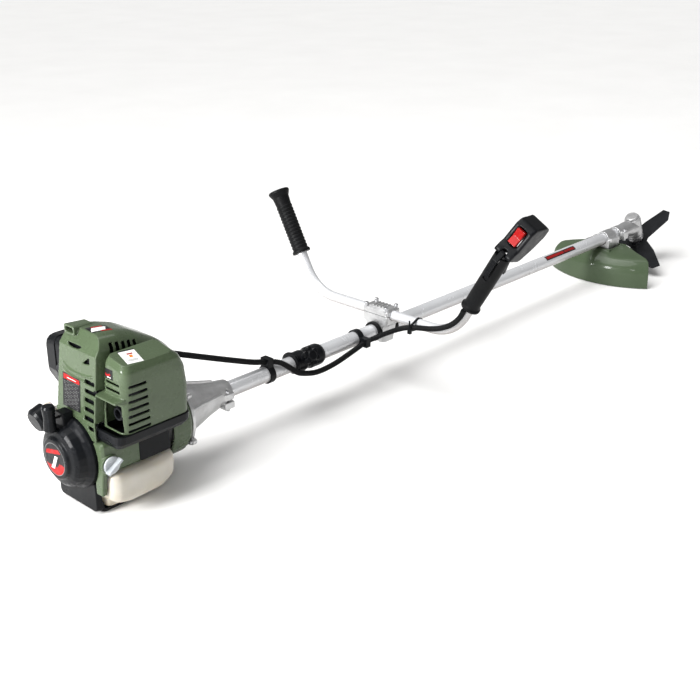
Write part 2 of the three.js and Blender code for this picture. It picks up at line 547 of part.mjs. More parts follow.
function addCoupler() {
  const sleeve = turned([[386, 0], [386, 19], [408, 19.5], [412, 18], [420, 18], [424, 20], [448, 20],
    [454, 18], [454, 0]]);
  const flange = turned([[383, 0], [383, 22], [387, 22], [387, 0]]).subtract(block([380, 390], [-30, 30], [-30, -6]));
  const boss = rod(vector(404, -10, 6), knob.centre, 9);
  const bore = turned([[370, 0], [370, tube.outer + gap], [470, tube.outer + gap], [470, 0]], 28);
  add('shaft_coupler', cut(join(sleeve, flange, boss), bore), 'blackPlastic');
  const origin = knob.centre.clone().addScaledVector(knob.axis, gap);
  const hub = turned([[0, 0], [0, 8], [3, 11], [11, 11], [14, 8], [14, 0]], 20, origin, knob.axis);
  const lobes = Array.from({ length: 6 }, (_, i) => {
    const angle = i * Math.PI / 3;
    const lobe = new THREE.CylinderGeometry(4.6, 4.6, 9, 10).rotateZ(-Math.PI / 2);
    lobe.translate(7.5, 12.5 * Math.cos(angle), 12.5 * Math.sin(angle));
    return solid(aim(lobe, origin, knob.axis));
  });
  add('coupler_knob', join(hub, ...lobes), 'blackPlastic');
}

// ---------- handlebar ----------

const mirrorY = (point) => vector(point.x, -point.y, point.z);
const gripAxis = gripEnd.clone().sub(gripStart).normalize();

/** Handlebar centre line: straight, a round bend at each corner, and two rising ends. */
function barPoints() {
  const along = (from, to, distance) => from.clone().add(to.clone().sub(from).setLength(distance));
  const rise = gripStart.clone().sub(barBend);
  const tip = barBend.clone().add(rise.clone().setLength(rise.length() + 118));
  const bend = new THREE.QuadraticBezierCurve3(along(barBend, vector(barX, 0, barZ), 52), barBend,
    along(barBend, tip, 52));
  const left = [vector(barX, 60, barZ), ...bend.getPoints(4), along(barBend, tip, 100), along(barBend, tip, 150), tip];
  const right = left.map(mirrorY).reverse();
  return [...right, vector(barX, 0, barZ), ...left];
}

const rightGripStart = mirrorY(gripStart).addScaledVector(mirrorY(gripAxis), -12);
const rightGripEnd = mirrorY(gripEnd).addScaledVector(mirrorY(gripAxis), -19);

function addHandlebar() {
  const rightTip = rod(rightGripEnd.clone().addScaledVector(mirrorY(gripAxis), -4),
    rightGripEnd.clone().addScaledVector(mirrorY(gripAxis), 60), 30);
  add('handlebar', bentRod(barPoints(), barRadius, 46, 12).subtract(rightTip), 'silverTube');
  const bedX = [barX - 18, barX + 20];
  const seat = rod(vector(barX, -60, barZ), vector(barX, 60, barZ), barRadius + gap, 20);
  const shaftSeat = turned([[590, 0], [590, 17.3 + gap], [670, 17.3 + gap], [670, 0]], 28);
  const saddle = loftZ([[-21, [bedX[0] + 4, bedX[1] - 4], [-19.5, 19.5], 5], [10, bedX, [-22, 22], 5],
    [18, bedX, [-31, 31], 5], [barZ - gap, bedX, [-31, 31], 5]]);
  const upper = loftZ([[barZ + gap, bedX, [-31, 31], 5], [barZ + 9, bedX, [-31, 31], 5],
    [barZ + 13.5, [bedX[0] + 7, bedX[1] - 7], [-27, 27], 5]]);
  const boltAt = [[-14.3, -24.5], [-14.3, 24.5], [14.3, -24.5], [14.3, 24.5]].map(([x, y]) => [barX + x, y]);
  const holes = boltAt.map(([x, y]) => rod(vector(x, y, 5), vector(x, y, 60), 2.9, 10));
  add('bar_clamp_lower', cut(saddle, seat, shaftSeat, ...holes), 'castAlloy');
  const ribs = [-12, -4, 4, 12].map((y) => (
    block([bedX[0] + 8, bedX[1] - 8], [y - 1.6, y + 1.6], [barZ + 12, barZ + 15.5])));
  add('bar_clamp_upper', cut(join(upper, ...ribs), seat, ...holes), 'castAlloy');
  const collar = turned([[598, tube.outer + gap], [598, 19], [604, 19], [604, 17.3], [656, 17.3],
    [656, tube.outer + gap], [598, tube.outer + gap]], 28);
  add('clamp_rubber_sleeve', collar, 'rubber');
}

/** Moulded grip; the far end flares by the given amount. */
function gripSolid(from, to, flare) {
  const length = from.distanceTo(to);
  const profile = [[0, barRadius + gap], [0, 18], [4, 18.5], [8, gripRadius - 1], [length - 14, gripRadius],
    [length - 4, gripRadius + flare], [length, gripRadius + flare - 1], [length, 8], [length - 6, 8],
    [length - 6, barRadius + gap], [0, barRadius + gap]];
  return turned(profile, 24, from, to.clone().sub(from));
}

const headLean = THREE.MathUtils.degToRad(16);

/** Local frame on the right grip: up the grip, forward, and sideways; it can lean forward. */
function throttleFrame(angle) {
  const along = mirrorY(gripAxis);
  const ahead = xAxis.clone().addScaledVector(along, -xAxis.dot(along)).normalize();
  const side = new THREE.Vector3().crossVectors(ahead, along);
  const turn = new THREE.Quaternion().setFromAxisAngle(side, -angle);
  return { origin: rightGripEnd, up: along.applyQuaternion(turn), forward: ahead.applyQuaternion(turn), side };
}

/** Outline [forward, up] pushed sideways between two values, placed on the right grip. */
function throttlePlate(points, from, to, angle = 0) {
  const { origin, up, forward, side } = throttleFrame(angle);
  const shape = new THREE.Shape(points.map(([u, v]) => new THREE.Vector2(u, v)));
  const plate = new THREE.ExtrudeGeometry(shape, { depth: to - from, bevelEnabled: false }).translate(0, 0, from);
  return solid(plate.applyMatrix4(new THREE.Matrix4().makeBasis(forward, up, side).setPosition(origin)));
}

function addControls() {
  add('left_grip', gripSolid(gripStart, gripEnd, 5), 'rubber');
  const length = rightGripStart.distanceTo(rightGripEnd);
  const sleeve = turned([[0, barRadius + gap], [0, 18], [5, 18], [7, gripRadius - 1], [length, gripRadius - 1],
    [length, barRadius + gap], [0, barRadius + gap]], 24, rightGripStart, mirrorY(gripAxis));
  const triggerSlot = throttlePlate([[8, -66], [44, -66], [44, 10], [8, 10]], -5, 5);
  const lockSlot = throttlePlate([[-11.2, -52], [-30, -52], [-30, 10], [-4, 10], [-4, -12], [-11.2, -12]], -5.2, 5.2);
  const outline = [[-10, 0], [-11, 5], [-8, 15], [-3, 23], [-2, 59], [5, 69], [38, 77], [52, 73], [55, 57], [46, 31],
    [32, 5], [26, 0]];
  const head = throttlePlate(outline, -19, 19, headLean);
  const headRoom = throttlePlate(outline.map(([u, v]) => [u, v - gap]), -19.3, 19.3, headLean);
  add('right_grip', cut(sleeve, triggerSlot, lockSlot, headRoom), 'rubber');
  const cavity = throttlePlate([[-5, 5], [-4, 14], [3, 23], [3, 58], [10, 64], [38, 71], [47, 68], [48, 57], [40, 34],
    [24, 5]], -14, 14, headLean);
  const mouth = throttlePlate([[6, -30], [60, -30], [60, 24], [6, 24]], -5.2, 5.2);
  const lockMouth = throttlePlate([[-32, -30], [-2, -30], [-2, 15], [-32, 15]], -5.2, 5.2);
  const switchHole = throttlePlate([[-20, 24], [6, 24], [6, 57], [-20, 57]], -9, 9, headLean);
  add('throttle_housing', cut(head, cavity, mouth, lockMouth, switchHole), 'blackPlastic');
  add('throttle_trigger', throttlePlate([[14, 16], [22, 18], [28, 4], [32, -24], [40, -48], [36, -52], [28, -30],
    [23, -6], [17, 4]], -4.5, 4.5), 'blackPlastic');
  add('lockout_lever', throttlePlate([[-5, 11], [-5, 2], [-15.5, -8], [-15.5, -40], [-19, -44], [-21.5, -30],
    [-20, -6], [-10, 9]], -4.5, 4.5), 'blackPlastic');
  add('stop_switch', throttlePlate([[2, 26], [2, 55], [-8, 55], [-5, 40.5], [-7.5, 26]], -8, 8, headLean),
    'redPlastic');
}

// ---------- throttle cable and its clips ----------

const conduitRadius = 5.2;
const conduitRoute = [
  [36, 62, 106], [60, 62, 110], [86, 52, 111], [105, 34, 105], [140, 18, 91], [200, 8, 68], [262, 3, 44],
  [300, 1, 30], [328, 0, 22.5], [345, -12, 19.5], [358, -21, 10], [370, -25, -1], [386, -26, -10],
  [424, -25, -20], [470, -24, -19], [520, -23, -10], [553, -24, -2], [582, -37, 7], [602, -58, 18],
  [606, -80, 27], [606, -104, 33], [606.5, -130, 38], [607, -156, 46], [607.5, -180, 59], [608, -197, 76],
  [609, -205.2, 92],
].map(([x, y, z]) => vector(x, y, z));

function addCable() {
  add('throttle_cable', bentRod(conduitRoute, conduitRadius, 58, 8), 'rubber');
  const band = (x) => ring(x - 6, x + 6, tube.outer + gap, 17);
  const passage = bentRod(conduitRoute, conduitRadius + gap + 0.5, 58, 10);
  const tubeRoom = (x) => turned([[x - 30, 0], [x - 30, tube.outer + gap], [x + 30, tube.outer + gap], [x + 30, 0]]);
  const rear = join(band(328), block([322, 334], [-10, 10], [14, 30]));
  add('cable_clip_rear', cut(rear, passage, tubeRoom(328)), 'blackPlastic');
  const front = join(band(553), block([547, 559], [-32, -12], [-10, 7]));
  add('cable_clip_front', cut(front, passage, tubeRoom(553)), 'blackPlastic');
}

// ---------- cutting head ----------

const outAxis = vector(Math.sin(headTilt), 0, -Math.cos(headTilt)); // points down to the blade
const headCentre = vector(headX, 0, 0);
const onOutput = (profile, segments = 24) => turned(profile, segments, headCentre, outAxis);

function addGearHead() {
  const neckBody = turned([[1478, 0], [1478, 18.2], [1500, 18.2], [1504, 17], [1530, 19.5], [1572, 20.5], [1582, 16],
    [1586, 9], [1586, 0]]);
  const drop = onOutput([[-27, 0], [-27, 18.5], [-22, 20], [18, 20], [22, 18.5], [28, 18.5], [28, 0]]);
  const ear = block([1480, 1498], [-28, -12], [-9, 9]);
  const shaftRoom = turned([[1470, 0], [1470, tube.outer + gap], [tube.front + gap, tube.outer + gap],
    [tube.front + gap, 9], [1546, 9], [1546, 16], [1572, 16], [1572, 0]]);
  const outRoom = onOutput([[-36, 0], [-36, 12.5], [-20, 12.5], [-20, 16.5], [12, 16.5], [12, 10], [36, 10], [36, 0]]);
  const capRoom = onOutput([[-60, 0], [-60, 15.5 + gap], [-27, 15.5 + gap], [-27, 0]]);
  const bolt = rod(vector(1489, -22, -20), vector(1489, -22, 20), 2.8, 12);
  add('gear_head', cut(join(neckBody, drop, ear), shaftRoom, outRoom, capRoom, bolt), 'castAlloy');
  add('gear_head_cap', onOutput([[-33, 0], [-33, 14], [-31, 15.5], [-27 - gap, 15.5], [-27 - gap, 12.2],
    [-21.5, 12.2], [-21.5, 0]]), 'castAlloy');
}

function addGears() {
  const pinion = turned([[1521, 0], [1521, 7], [1546, 7], [1548, 8], [1555, 6.5], [1555, 0]], 16);
  add('drive_pinion', pinion, 'steel');
  const wheel = onOutput([[-18, 0], [-18, 7.5], [-4, 7.5], [-4, 11], [2, 15], [7, 15], [7, 9.7], [28, 9.7], [28, 8],
    [bladeDrop + 19, 8], [bladeDrop + 19, 0]]);
  add('output_shaft', wheel, 'steel');
}

/** Three hooked teeth around a hub; the first one points nearly straight ahead. */
function bladeSolid() {
  const thickness = 2.2;
  const firstTooth = THREE.MathUtils.degToRad(18);
  const tooth = [[16, -24], [60, -31], [bladeRadius - 4, -31], [bladeRadius - 1, -12], [102, 8], [44, 17], [24, 20]];
  const points = [0, 1, 2].flatMap((i) => {
    const angle = i * 2 * Math.PI / 3;
    return tooth.map(([u, v]) => new THREE.Vector2(
      u * Math.cos(angle) - v * Math.sin(angle), u * Math.sin(angle) + v * Math.cos(angle)));
  });
  const plate = new THREE.ExtrudeGeometry(new THREE.Shape(points), { depth: thickness, bevelEnabled: false });
  const forward = vector(Math.cos(headTilt), 0, Math.sin(headTilt));
  const right = new THREE.Vector3().crossVectors(outAxis, forward);
  plate.rotateZ(firstTooth);
  const at = headCentre.clone().addScaledVector(outAxis, bladeDrop);
  const bore = onOutput([[bladeDrop - 5, 0], [bladeDrop - 5, 8 + gap], [bladeDrop + 8, 8 + gap], [bladeDrop + 8, 0]]);
  return solid(plate.applyMatrix4(new THREE.Matrix4().makeBasis(forward, right, outAxis).setPosition(at)))
    .subtract(bore);
}

function addBlade() {
  const bore = 8 + gap;
  const drop = bladeDrop;
  add('upper_flange', onOutput([[28 + gap, bore], [28 + gap, 20], [34, 20], [drop - gap, 18], [drop - gap, bore],
    [28 + gap, bore]]), 'steel');
  add('blade', bladeSolid(), 'darkSteel');
  const washer = onOutput([[drop + 2.5, 0], [drop + 2.5, 21], [drop + 6, 20], [drop + 9, 12], [drop + 9, 0]]);
  const nut = onOutput([[drop + 5, 0], [drop + 5, 11], [drop + 16, 11], [drop + 16, 0]], 6);
  const thread = onOutput([[drop, 0], [drop, bore], [drop + 30, bore], [drop + 30, 0]], 16);
  add('blade_nut', join(washer, nut).subtract(thread), 'steel');
}

/** Hood behind the blade: one cross-section swept about the blade, wider at its outer rim. */
function guardSolid() {
  const section = [[110, -17], [150, -21], [185, -30], [202, -44], [208, -62], [guardReach, 0.4 - axisHeight],
    [guardReach - 3, 0.4 - axisHeight], [205, -62.5], [199.5, -45.5], [184, -33.2], [149.6, -24.2], [110, -20.2]];
  const centre = vector(headX + 12, 0, 0);
  const steps = 14;
  const halfAngle = (radius) => THREE.MathUtils.degToRad(17 + 22 * Math.min(1, (radius - 110) / 76));
  return loft(Array.from({ length: steps + 1 }, (_, i) => {
    const side = 2 * i / steps - 1;
    return section.map(([radius, z]) => {
      const angle = side * halfAngle(radius);
      return vector(centre.x - radius * Math.cos(angle), radius * Math.sin(angle), z);
    });
  }));
}

function addGuard() {
  const saddle = block([1418, 1466], [-22, 22], [-24.7, 0]);
  const bore = turned([[1400, 0], [1400, tube.outer + gap], [1477, tube.outer + gap], [1477, 0]], 28);
  const strap = turned([[1424, 0], [1424, 18], [1460, 18], [1460, 0]]);
  const ears = block([1424, 1460], [-26, 26], [-4, 4]);
  add('guard_clamp', cut(join(saddle, strap, ears), bore), 'castAlloy');
  const pocket = block([1411, 1473], [-29, 29], [-28.5, -18.5]);
  const clampRoom = block([1415, 1469], [-25.5, 25.5], [-25, 10]);
  add('blade_guard', cut(join(guardSolid(), pocket), clampRoom), 'guardGreen');
}

// ---------- assembly ----------

[addCrankcase, addCrankshaft, addCylinder, addCylinderHead, addIgnition, addClutch, addFanCover,
  addClutchHousing, addRecoilStarter, addTopCover, addMuffler, addSideCover, addAirCleaner, addCarburetor,
  addFuelSystem, addFoot, addShaft, addCoupler, addHandlebar, addControls, addCable, addGearHead, addGears,
  addBlade, addGuard].forEach((build) => build());

export default machine;
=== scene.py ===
import json
import math

import bmesh
import bpy
import numpy as np
from mathutils import Matrix, Vector
from mathutils.bvhtree import BVHTree

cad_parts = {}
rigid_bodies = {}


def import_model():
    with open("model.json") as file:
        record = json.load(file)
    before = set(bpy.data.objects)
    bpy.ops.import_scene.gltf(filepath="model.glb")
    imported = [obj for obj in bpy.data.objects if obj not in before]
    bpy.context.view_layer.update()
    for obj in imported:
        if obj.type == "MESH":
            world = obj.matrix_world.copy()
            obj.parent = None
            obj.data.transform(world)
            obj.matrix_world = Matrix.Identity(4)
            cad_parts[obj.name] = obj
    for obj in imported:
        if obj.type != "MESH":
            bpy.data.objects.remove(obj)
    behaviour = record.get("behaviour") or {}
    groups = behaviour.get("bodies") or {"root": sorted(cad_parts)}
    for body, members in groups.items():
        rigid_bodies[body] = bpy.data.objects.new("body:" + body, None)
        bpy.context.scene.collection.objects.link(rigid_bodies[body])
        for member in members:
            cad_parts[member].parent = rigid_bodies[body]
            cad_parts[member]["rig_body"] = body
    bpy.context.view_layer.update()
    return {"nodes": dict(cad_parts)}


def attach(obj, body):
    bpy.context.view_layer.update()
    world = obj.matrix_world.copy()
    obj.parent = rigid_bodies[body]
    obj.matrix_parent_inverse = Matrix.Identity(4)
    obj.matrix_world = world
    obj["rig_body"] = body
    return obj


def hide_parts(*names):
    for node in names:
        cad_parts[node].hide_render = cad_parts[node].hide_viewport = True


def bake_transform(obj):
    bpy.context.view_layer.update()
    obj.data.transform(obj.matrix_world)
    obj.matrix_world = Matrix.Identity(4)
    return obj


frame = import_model()

MM = 0.001
AXIS = 96.0  # height of the crank and shaft axis above the floor, in mm

# ---------------------------------------------------------------- places

X_AXIS = Vector((1, 0, 0))
Z_AXIS = Vector((0, 0, 1))


def at(x, y, z):
    """A point given in mm from the shaft axis, in metres in the frame."""
    return Vector((x, y, z + AXIS)) * MM


# ---------------------------------------------------------------- shader building


class Look:
    """A Principled material that is built up with procedural layers in object space."""

    def __init__(self, name, **sockets):
        self.material = bpy.data.materials.new(name)
        self.material.use_nodes = True
        self.tree = self.material.node_tree
        self.tree.nodes.clear()
        self.shader = self.tree.nodes.new("ShaderNodeBsdfPrincipled")
        output = self.tree.nodes.new("ShaderNodeOutputMaterial")
        self.link(self.shader.outputs[0], output.inputs["Surface"])
        self.place = self.tree.nodes.new("ShaderNodeTexCoord").outputs["Object"]
        for key, value in sockets.items():
            self.shader.inputs[key.replace("_", " ")].default_value = value
        self.normal = None

    def link(self, source, target):
        self.tree.links.new(source, target)

    def node(self, kind, inputs=None, **settings):
        node = self.tree.nodes.new("ShaderNode" + kind)
        for key, value in settings.items():
            setattr(node, key, value)
        for key, value in (inputs or {}).items():
            if isinstance(value, bpy.types.NodeSocket):
                self.link(value, node.inputs[key])
            else:
                node.inputs[key].default_value = value
        return node

    def stretched(self, x, y, z):
        """Object coordinates, stretched by a factor on each axis."""
        return self.node("Mapping", {"Vector": self.place, "Scale": (x, y, z)}).outputs[0]

    def noise(self, scale, detail=3.0, roughness=0.55, place=None):
        inputs = {"Vector": place or self.place, "Scale": scale, "Detail": detail, "Roughness": roughness}
        return self.node("TexNoise", inputs).outputs["Fac"]

    def cells(self, scale):
        return self.node("TexVoronoi", {"Vector": self.place, "Scale": scale}).outputs["Distance"]

    def span(self, value, low, high, to_low=0.0, to_high=1.0):
        """Maps a value from one range to another, clamped."""
        inputs = {"Value": value, "From Min": low, "From Max": high, "To Min": to_low, "To Max": to_high}
        return self.node("MapRange", inputs).outputs[0]

    def maths(self, operation, a, b=0.0):
        node = self.node("Math", operation=operation)
        for socket, value in zip(node.inputs, (a, b)):
            if isinstance(value, bpy.types.NodeSocket):
                self.link(value, socket)
            else:
                socket.default_value = value
        return node.outputs[0]

    def mix(self, amount, a, b):
        node = self.node("Mix", data_type="RGBA")
        for index, value in ((0, amount), (6, a), (7, b)):
            if isinstance(value, bpy.types.NodeSocket):
                self.link(value, node.inputs[index])
            elif index == 0:
                node.inputs[index].default_value = value
            else:
                node.inputs[index].default_value = (*value, 1.0)
        return node.outputs[2]

    def edges(self, low=0.54, high=0.62):
        """1 on convex edges of a finely meshed piece, 0 elsewhere."""
        return self.span(self.node("NewGeometry").outputs["Pointiness"], low, high)

    def colour(self, value):
        self.link(value, self.shader.inputs["Base Color"])

    def rough(self, value):
        self.link(value, self.shader.inputs["Roughness"])

    def bump(self, height, strength, depth):
        inputs = {"Height": height, "Strength": strength, "Distance": depth * MM}
        if self.normal is not None:
            inputs["Normal"] = self.normal
        self.normal = self.node("Bump", inputs).outputs[0]
        self.link(self.normal, self.shader.inputs["Normal"])


def painted(name, base, shade, pale, roughness, coat):
    """Glossy moulded or painted plastic: cloudy colour, faint orange peel, pale worn edges, fine dust."""
    look = Look(name, Coat_Weight=coat, Coat_Roughness=0.06, Specular_IOR_Level=0.15)
    body = look.mix(look.span(look.noise(11.0, 3.0), 0.35, 0.7), base, shade)
    dust = look.span(look.noise(330.0, 5.0, 0.7), 0.58, 0.85, 0.0, 0.18)
    dusty = look.mix(dust, body, pale)
    worn = look.maths("MULTIPLY", look.edges(0.53, 0.6), look.span(look.noise(90.0, 4.0), 0.35, 0.62))
    look.colour(look.mix(look.maths("MULTIPLY", worn, 0.5), dusty, pale))
    look.rough(look.span(look.noise(45.0, 5.0, 0.65), 0.3, 0.75, roughness - 0.05, roughness + 0.1))
    look.bump(look.noise(170.0, 2.0), 0.05, 0.10)
    look.bump(look.noise(1300.0, 2.0), 0.05, 0.03)
    return look.material


def moulded(name, base, pale, roughness, grain=2200.0, depth=0.05):
    """Black moulded plastic or rubber: fine spark grain, greyed edges and dust in patches."""
    look = Look(name, Specular_IOR_Level=0.12)
    cloud = look.span(look.noise(22.0, 4.0), 0.4, 0.7)
    body = look.mix(cloud, base, tuple(1.7 * channel for channel in base))
    dust = look.span(look.noise(180.0, 6.0, 0.7), 0.6, 0.85, 0.0, 0.14)
    dusty = look.mix(dust, body, pale)
    look.colour(look.mix(look.maths("MULTIPLY", look.edges(0.53, 0.62), 0.35), dusty, pale))
    look.rough(look.span(look.noise(75.0, 4.0), 0.3, 0.7, roughness - 0.07, roughness + 0.1))
    look.bump(look.cells(grain), 0.25, depth)
    return look.material


def cast_metal(name, base, shade, roughness):
    """Die-cast aluminium: sand-fine grain, faint flow clouds, bright rubbed edges, and painted shade that
    darkens the hollows.
    """
    look = Look(name, Metallic=0.82)
    cloud = look.span(look.noise(35.0, 5.0, 0.6), 0.35, 0.7)
    body = look.mix(cloud, base, shade)
    # Concave places are mixed towards dark brown: painted shade in the hollows.
    painted_hollow_shade = look.maths("SUBTRACT", 1.0, look.edges(0.40, 0.49))
    with_hollow_shade = look.mix(look.maths("MULTIPLY", painted_hollow_shade, 0.6), body, (0.10, 0.09, 0.08))
    look.colour(look.mix(look.maths("MULTIPLY", look.edges(0.54, 0.62), 0.6), with_hollow_shade, (0.86, 0.86, 0.86)))
    look.rough(look.span(look.noise(150.0, 4.0), 0.3, 0.7, roughness - 0.08, roughness + 0.12))
    look.bump(look.noise(900.0, 4.0, 0.7), 0.35, 0.10)
    look.bump(look.noise(120.0, 2.0), 0.10, 0.25)
    return look.material


def drawn_tube(name, base, shade, painted_underside_tint, roughness, metallic):
    """Clear-coated drawn tube: soft clouding, handling marks, and painted shade with a painted warm floor
    reflection on the underside.
    """
    look = Look(name, Metallic=metallic, Coat_Weight=0.4, Coat_Roughness=0.12)
    body = look.mix(look.span(look.noise(6.0, 3.0), 0.35, 0.7), base, shade)
    specks = look.span(look.noise(260.0, 5.0, 0.7), 0.6, 0.85, 0.0, 0.2)
    marked = look.mix(specks, body, shade)
    facing = look.node("SeparateXYZ", {"Vector": look.node("NewGeometry").outputs["Normal"]}).outputs["Z"]
    # Downward-facing surfaces are mixed towards warm brown: painted shade and a painted reflection of a brown
    # floor on the underside.
    look.colour(look.mix(look.span(facing, -0.95, 0.1, 0.85, 0.0), marked, painted_underside_tint))
    look.rough(look.span(look.noise(30.0, 5.0, 0.7), 0.35, 0.75, roughness - 0.02, roughness + 0.05))
    look.bump(look.noise(500.0, 3.0), 0.02, 0.01)
    return look.material


def turned_steel(name, base, shade, roughness):
    """Machined steel: tight turning marks, tiny stains, brighter edges."""
    look = Look(name, Metallic=0.95)
    marks = look.noise(1400.0, 2.0, 0.5, look.stretched(1.0, 0.08, 0.08))
    stains = look.span(look.noise(160.0, 6.0, 0.7), 0.5, 0.8, 0.0, 0.7)
    look.colour(look.mix(stains, base, shade))
    look.rough(look.span(marks, 0.3, 0.7, roughness - 0.06, roughness + 0.12))
    look.bump(marks, 0.12, 0.04)
    return look.material


def enamelled_steel(name, base, pale):
    """Black baked enamel on plate: faint orange peel, chips that show steel along the edges."""
    look = Look(name, Coat_Weight=0.1, Coat_Roughness=0.25, Specular_IOR_Level=0.12)
    chips = look.span(look.noise(240.0, 6.0, 0.75), 0.66, 0.72)
    cloud = look.mix(look.span(look.noise(30.0, 4.0), 0.35, 0.7), base, tuple(2.2 * c for c in base))
    look.colour(look.mix(look.maths("MULTIPLY", chips, 0.35), cloud, pale))
    look.rough(look.span(look.noise(90.0, 5.0), 0.3, 0.7, 0.32, 0.5))
    look.bump(look.noise(500.0, 3.0), 0.12, 0.06)
    return look.material


def milky_tank(name):
    """Blow-moulded polyethylene: waxy, slightly see-through, soft sheen, with painted shade that makes it
    darker and yellower towards the bottom.
    """
    look = Look(name, Subsurface_Weight=0.45, Subsurface_Scale=0.004, Coat_Weight=0.6, Coat_Roughness=0.16)
    look.shader.inputs["Subsurface Radius"].default_value = (1.0, 0.75, 0.4)
    cloud = look.span(look.noise(18.0, 4.0), 0.3, 0.7)
    body = look.mix(cloud, (0.50, 0.475, 0.42), (0.42, 0.39, 0.33))
    # Parts of the tank low above the floor are mixed towards dark yellow-brown: painted shade on the lower
    # tank.
    height = look.node("SeparateXYZ", {"Vector": look.place}).outputs["Z"]
    low = look.span(height, 0.015, 0.05, 0.45, 0.0)
    look.colour(look.mix(low, body, (0.36, 0.30, 0.20)))
    look.rough(look.span(look.noise(70.0, 4.0), 0.3, 0.7, 0.30, 0.44))
    look.bump(look.noise(180.0, 3.0), 0.12, 0.15)
    return look.material


def clear_grey(name):
    """Tinted clear plastic cap: smoky, glossy, with light scratches."""
    look = Look(name, Transmission_Weight=0.35, IOR=1.49, Coat_Weight=0.4, Coat_Roughness=0.05)
    cloud = look.span(look.noise(60.0, 4.0), 0.35, 0.7)
    look.colour(look.mix(cloud, (0.62, 0.65, 0.67), (0.42, 0.45, 0.48)))
    scratches = look.noise(700.0, 3.0, 0.6, look.stretched(0.1, 1.0, 1.0))
    look.rough(look.span(scratches, 0.4, 0.8, 0.16, 0.32))
    look.bump(scratches, 0.06, 0.04)
    return look.material


def foam(name):
    """Open-cell filter foam: deep pores and a dusty bloom."""
    look = Look(name)
    pores = look.cells(700.0)
    look.colour(look.mix(look.span(pores, 0.1, 0.6), (0.012, 0.013, 0.014), (0.07, 0.075, 0.078)))
    look.rough(look.span(pores, 0.0, 0.6, 0.98, 0.8))
    look.bump(pores, 0.9, 0.6)
    return look.material


def printed(name, colour):
    """Printed vinyl: slightly uneven ink under a satin film."""
    look = Look(name, Specular_IOR_Level=0.08)
    faded = tuple(0.82 * channel + 0.02 for channel in colour)
    look.colour(look.mix(look.span(look.noise(120.0, 4.0), 0.35, 0.7), colour, faded))
    look.rough(look.span(look.noise(200.0, 3.0), 0.3, 0.7, 0.3, 0.45))
    look.bump(look.noise(700.0, 2.0), 0.04, 0.03)
    return look.material


LOOKS = {
    "green_paint": painted("green_paint", (0.062, 0.088, 0.047), (0.052, 0.074, 0.039),
                           (0.26, 0.32, 0.24), 0.26, 0.3),
    "guard_green": painted("guard_green", (0.060, 0.086, 0.047), (0.050, 0.074, 0.039),
                           (0.20, 0.27, 0.17), 0.38, 0.25),
    "black_plastic": moulded("black_plastic", (0.0030, 0.0034, 0.0042), (0.030, 0.032, 0.036), 0.32),
    "black_rubber": moulded("black_rubber", (0.0028, 0.003, 0.0034), (0.02, 0.02, 0.022), 0.48, 1500.0, 0.06),
    "cast_alloy": cast_metal("cast_alloy", (0.56, 0.562, 0.565), (0.42, 0.42, 0.422), 0.36),
    # The tube's third colour is its painted underside shade and floor reflection.
    "silver_tube": drawn_tube("silver_tube", (0.68, 0.69, 0.71), (0.58, 0.585, 0.60),
                              (0.20, 0.16, 0.13), 0.25, 0.3),
    "steel": turned_steel("steel", (0.52, 0.525, 0.54), (0.26, 0.24, 0.22), 0.3),
    "black_steel": enamelled_steel("black_steel", (0.005, 0.0055, 0.0065), (0.16, 0.155, 0.15)),
    "tank_plastic": milky_tank("tank_plastic"),
    "clear_plastic": clear_grey("clear_plastic"),
    "red_plastic": painted("red_plastic", (0.34, 0.004, 0.004), (0.27, 0.003, 0.003),
                           (0.50, 0.09, 0.07), 0.32, 0.3),
    "filter_foam": foam("filter_foam"),
    "bush_bronze": turned_steel("bush_bronze", (0.42, 0.24, 0.10), (0.22, 0.11, 0.05), 0.45),
}
INKS = {
    "white": printed("white_print", (0.78, 0.78, 0.76)),
    "black": printed("black_print", (0.008, 0.008, 0.009)),
    "red": printed("red_print", (0.30, 0.004, 0.004)),
    "grey": printed("grey_print", (0.16, 0.16, 0.16)),
    "orange": printed("orange_print", (0.62, 0.18, 0.02)),
}

# ---------------------------------------------------------------- mesh building


def mesh_piece(name, points, faces):
    """Mesh object from points in mm from the shaft axis."""
    mesh = bpy.data.meshes.new(name)
    mesh.from_pydata([tuple(at(*p)) for p in points], [], faces)
    mesh.validate()
    piece = bpy.data.objects.new(name, mesh)
    bpy.context.scene.collection.objects.link(piece)
    clean = bmesh.new()
    clean.from_mesh(mesh)
    bmesh.ops.recalc_face_normals(clean, faces=clean.faces)
    clean.to_mesh(mesh)
    clean.free()
    return piece


def loft(name, rings):
    """Skin over rings with the same number of points, capped at both ends."""
    count = len(rings[0])
    points = [p for ring in rings for p in ring]
    faces = [list(range(count))[::-1], list(range(len(points) - count, len(points)))]
    for r in range(len(rings) - 1):
        for i in range(count):
            a, b = r * count + i, r * count + (i + 1) % count
            faces.append([a, b, b + count, a + count])
    return mesh_piece(name, points, faces)


def rounded(u, v, radius, steps=10):
    """Rounded rectangle between the values u and v, as 2-D points."""
    corners = ((u[1] - radius, v[1] - radius), (u[0] + radius, v[1] - radius),
               (u[0] + radius, v[0] + radius), (u[1] - radius, v[0] + radius))
    points = []
    for quarter, (cu, cv) in enumerate(corners):
        for i in range(steps + 1):
            angle = (quarter + i / steps) * math.pi / 2
            points.append((cu + radius * math.cos(angle), cv + radius * math.sin(angle)))
    return points


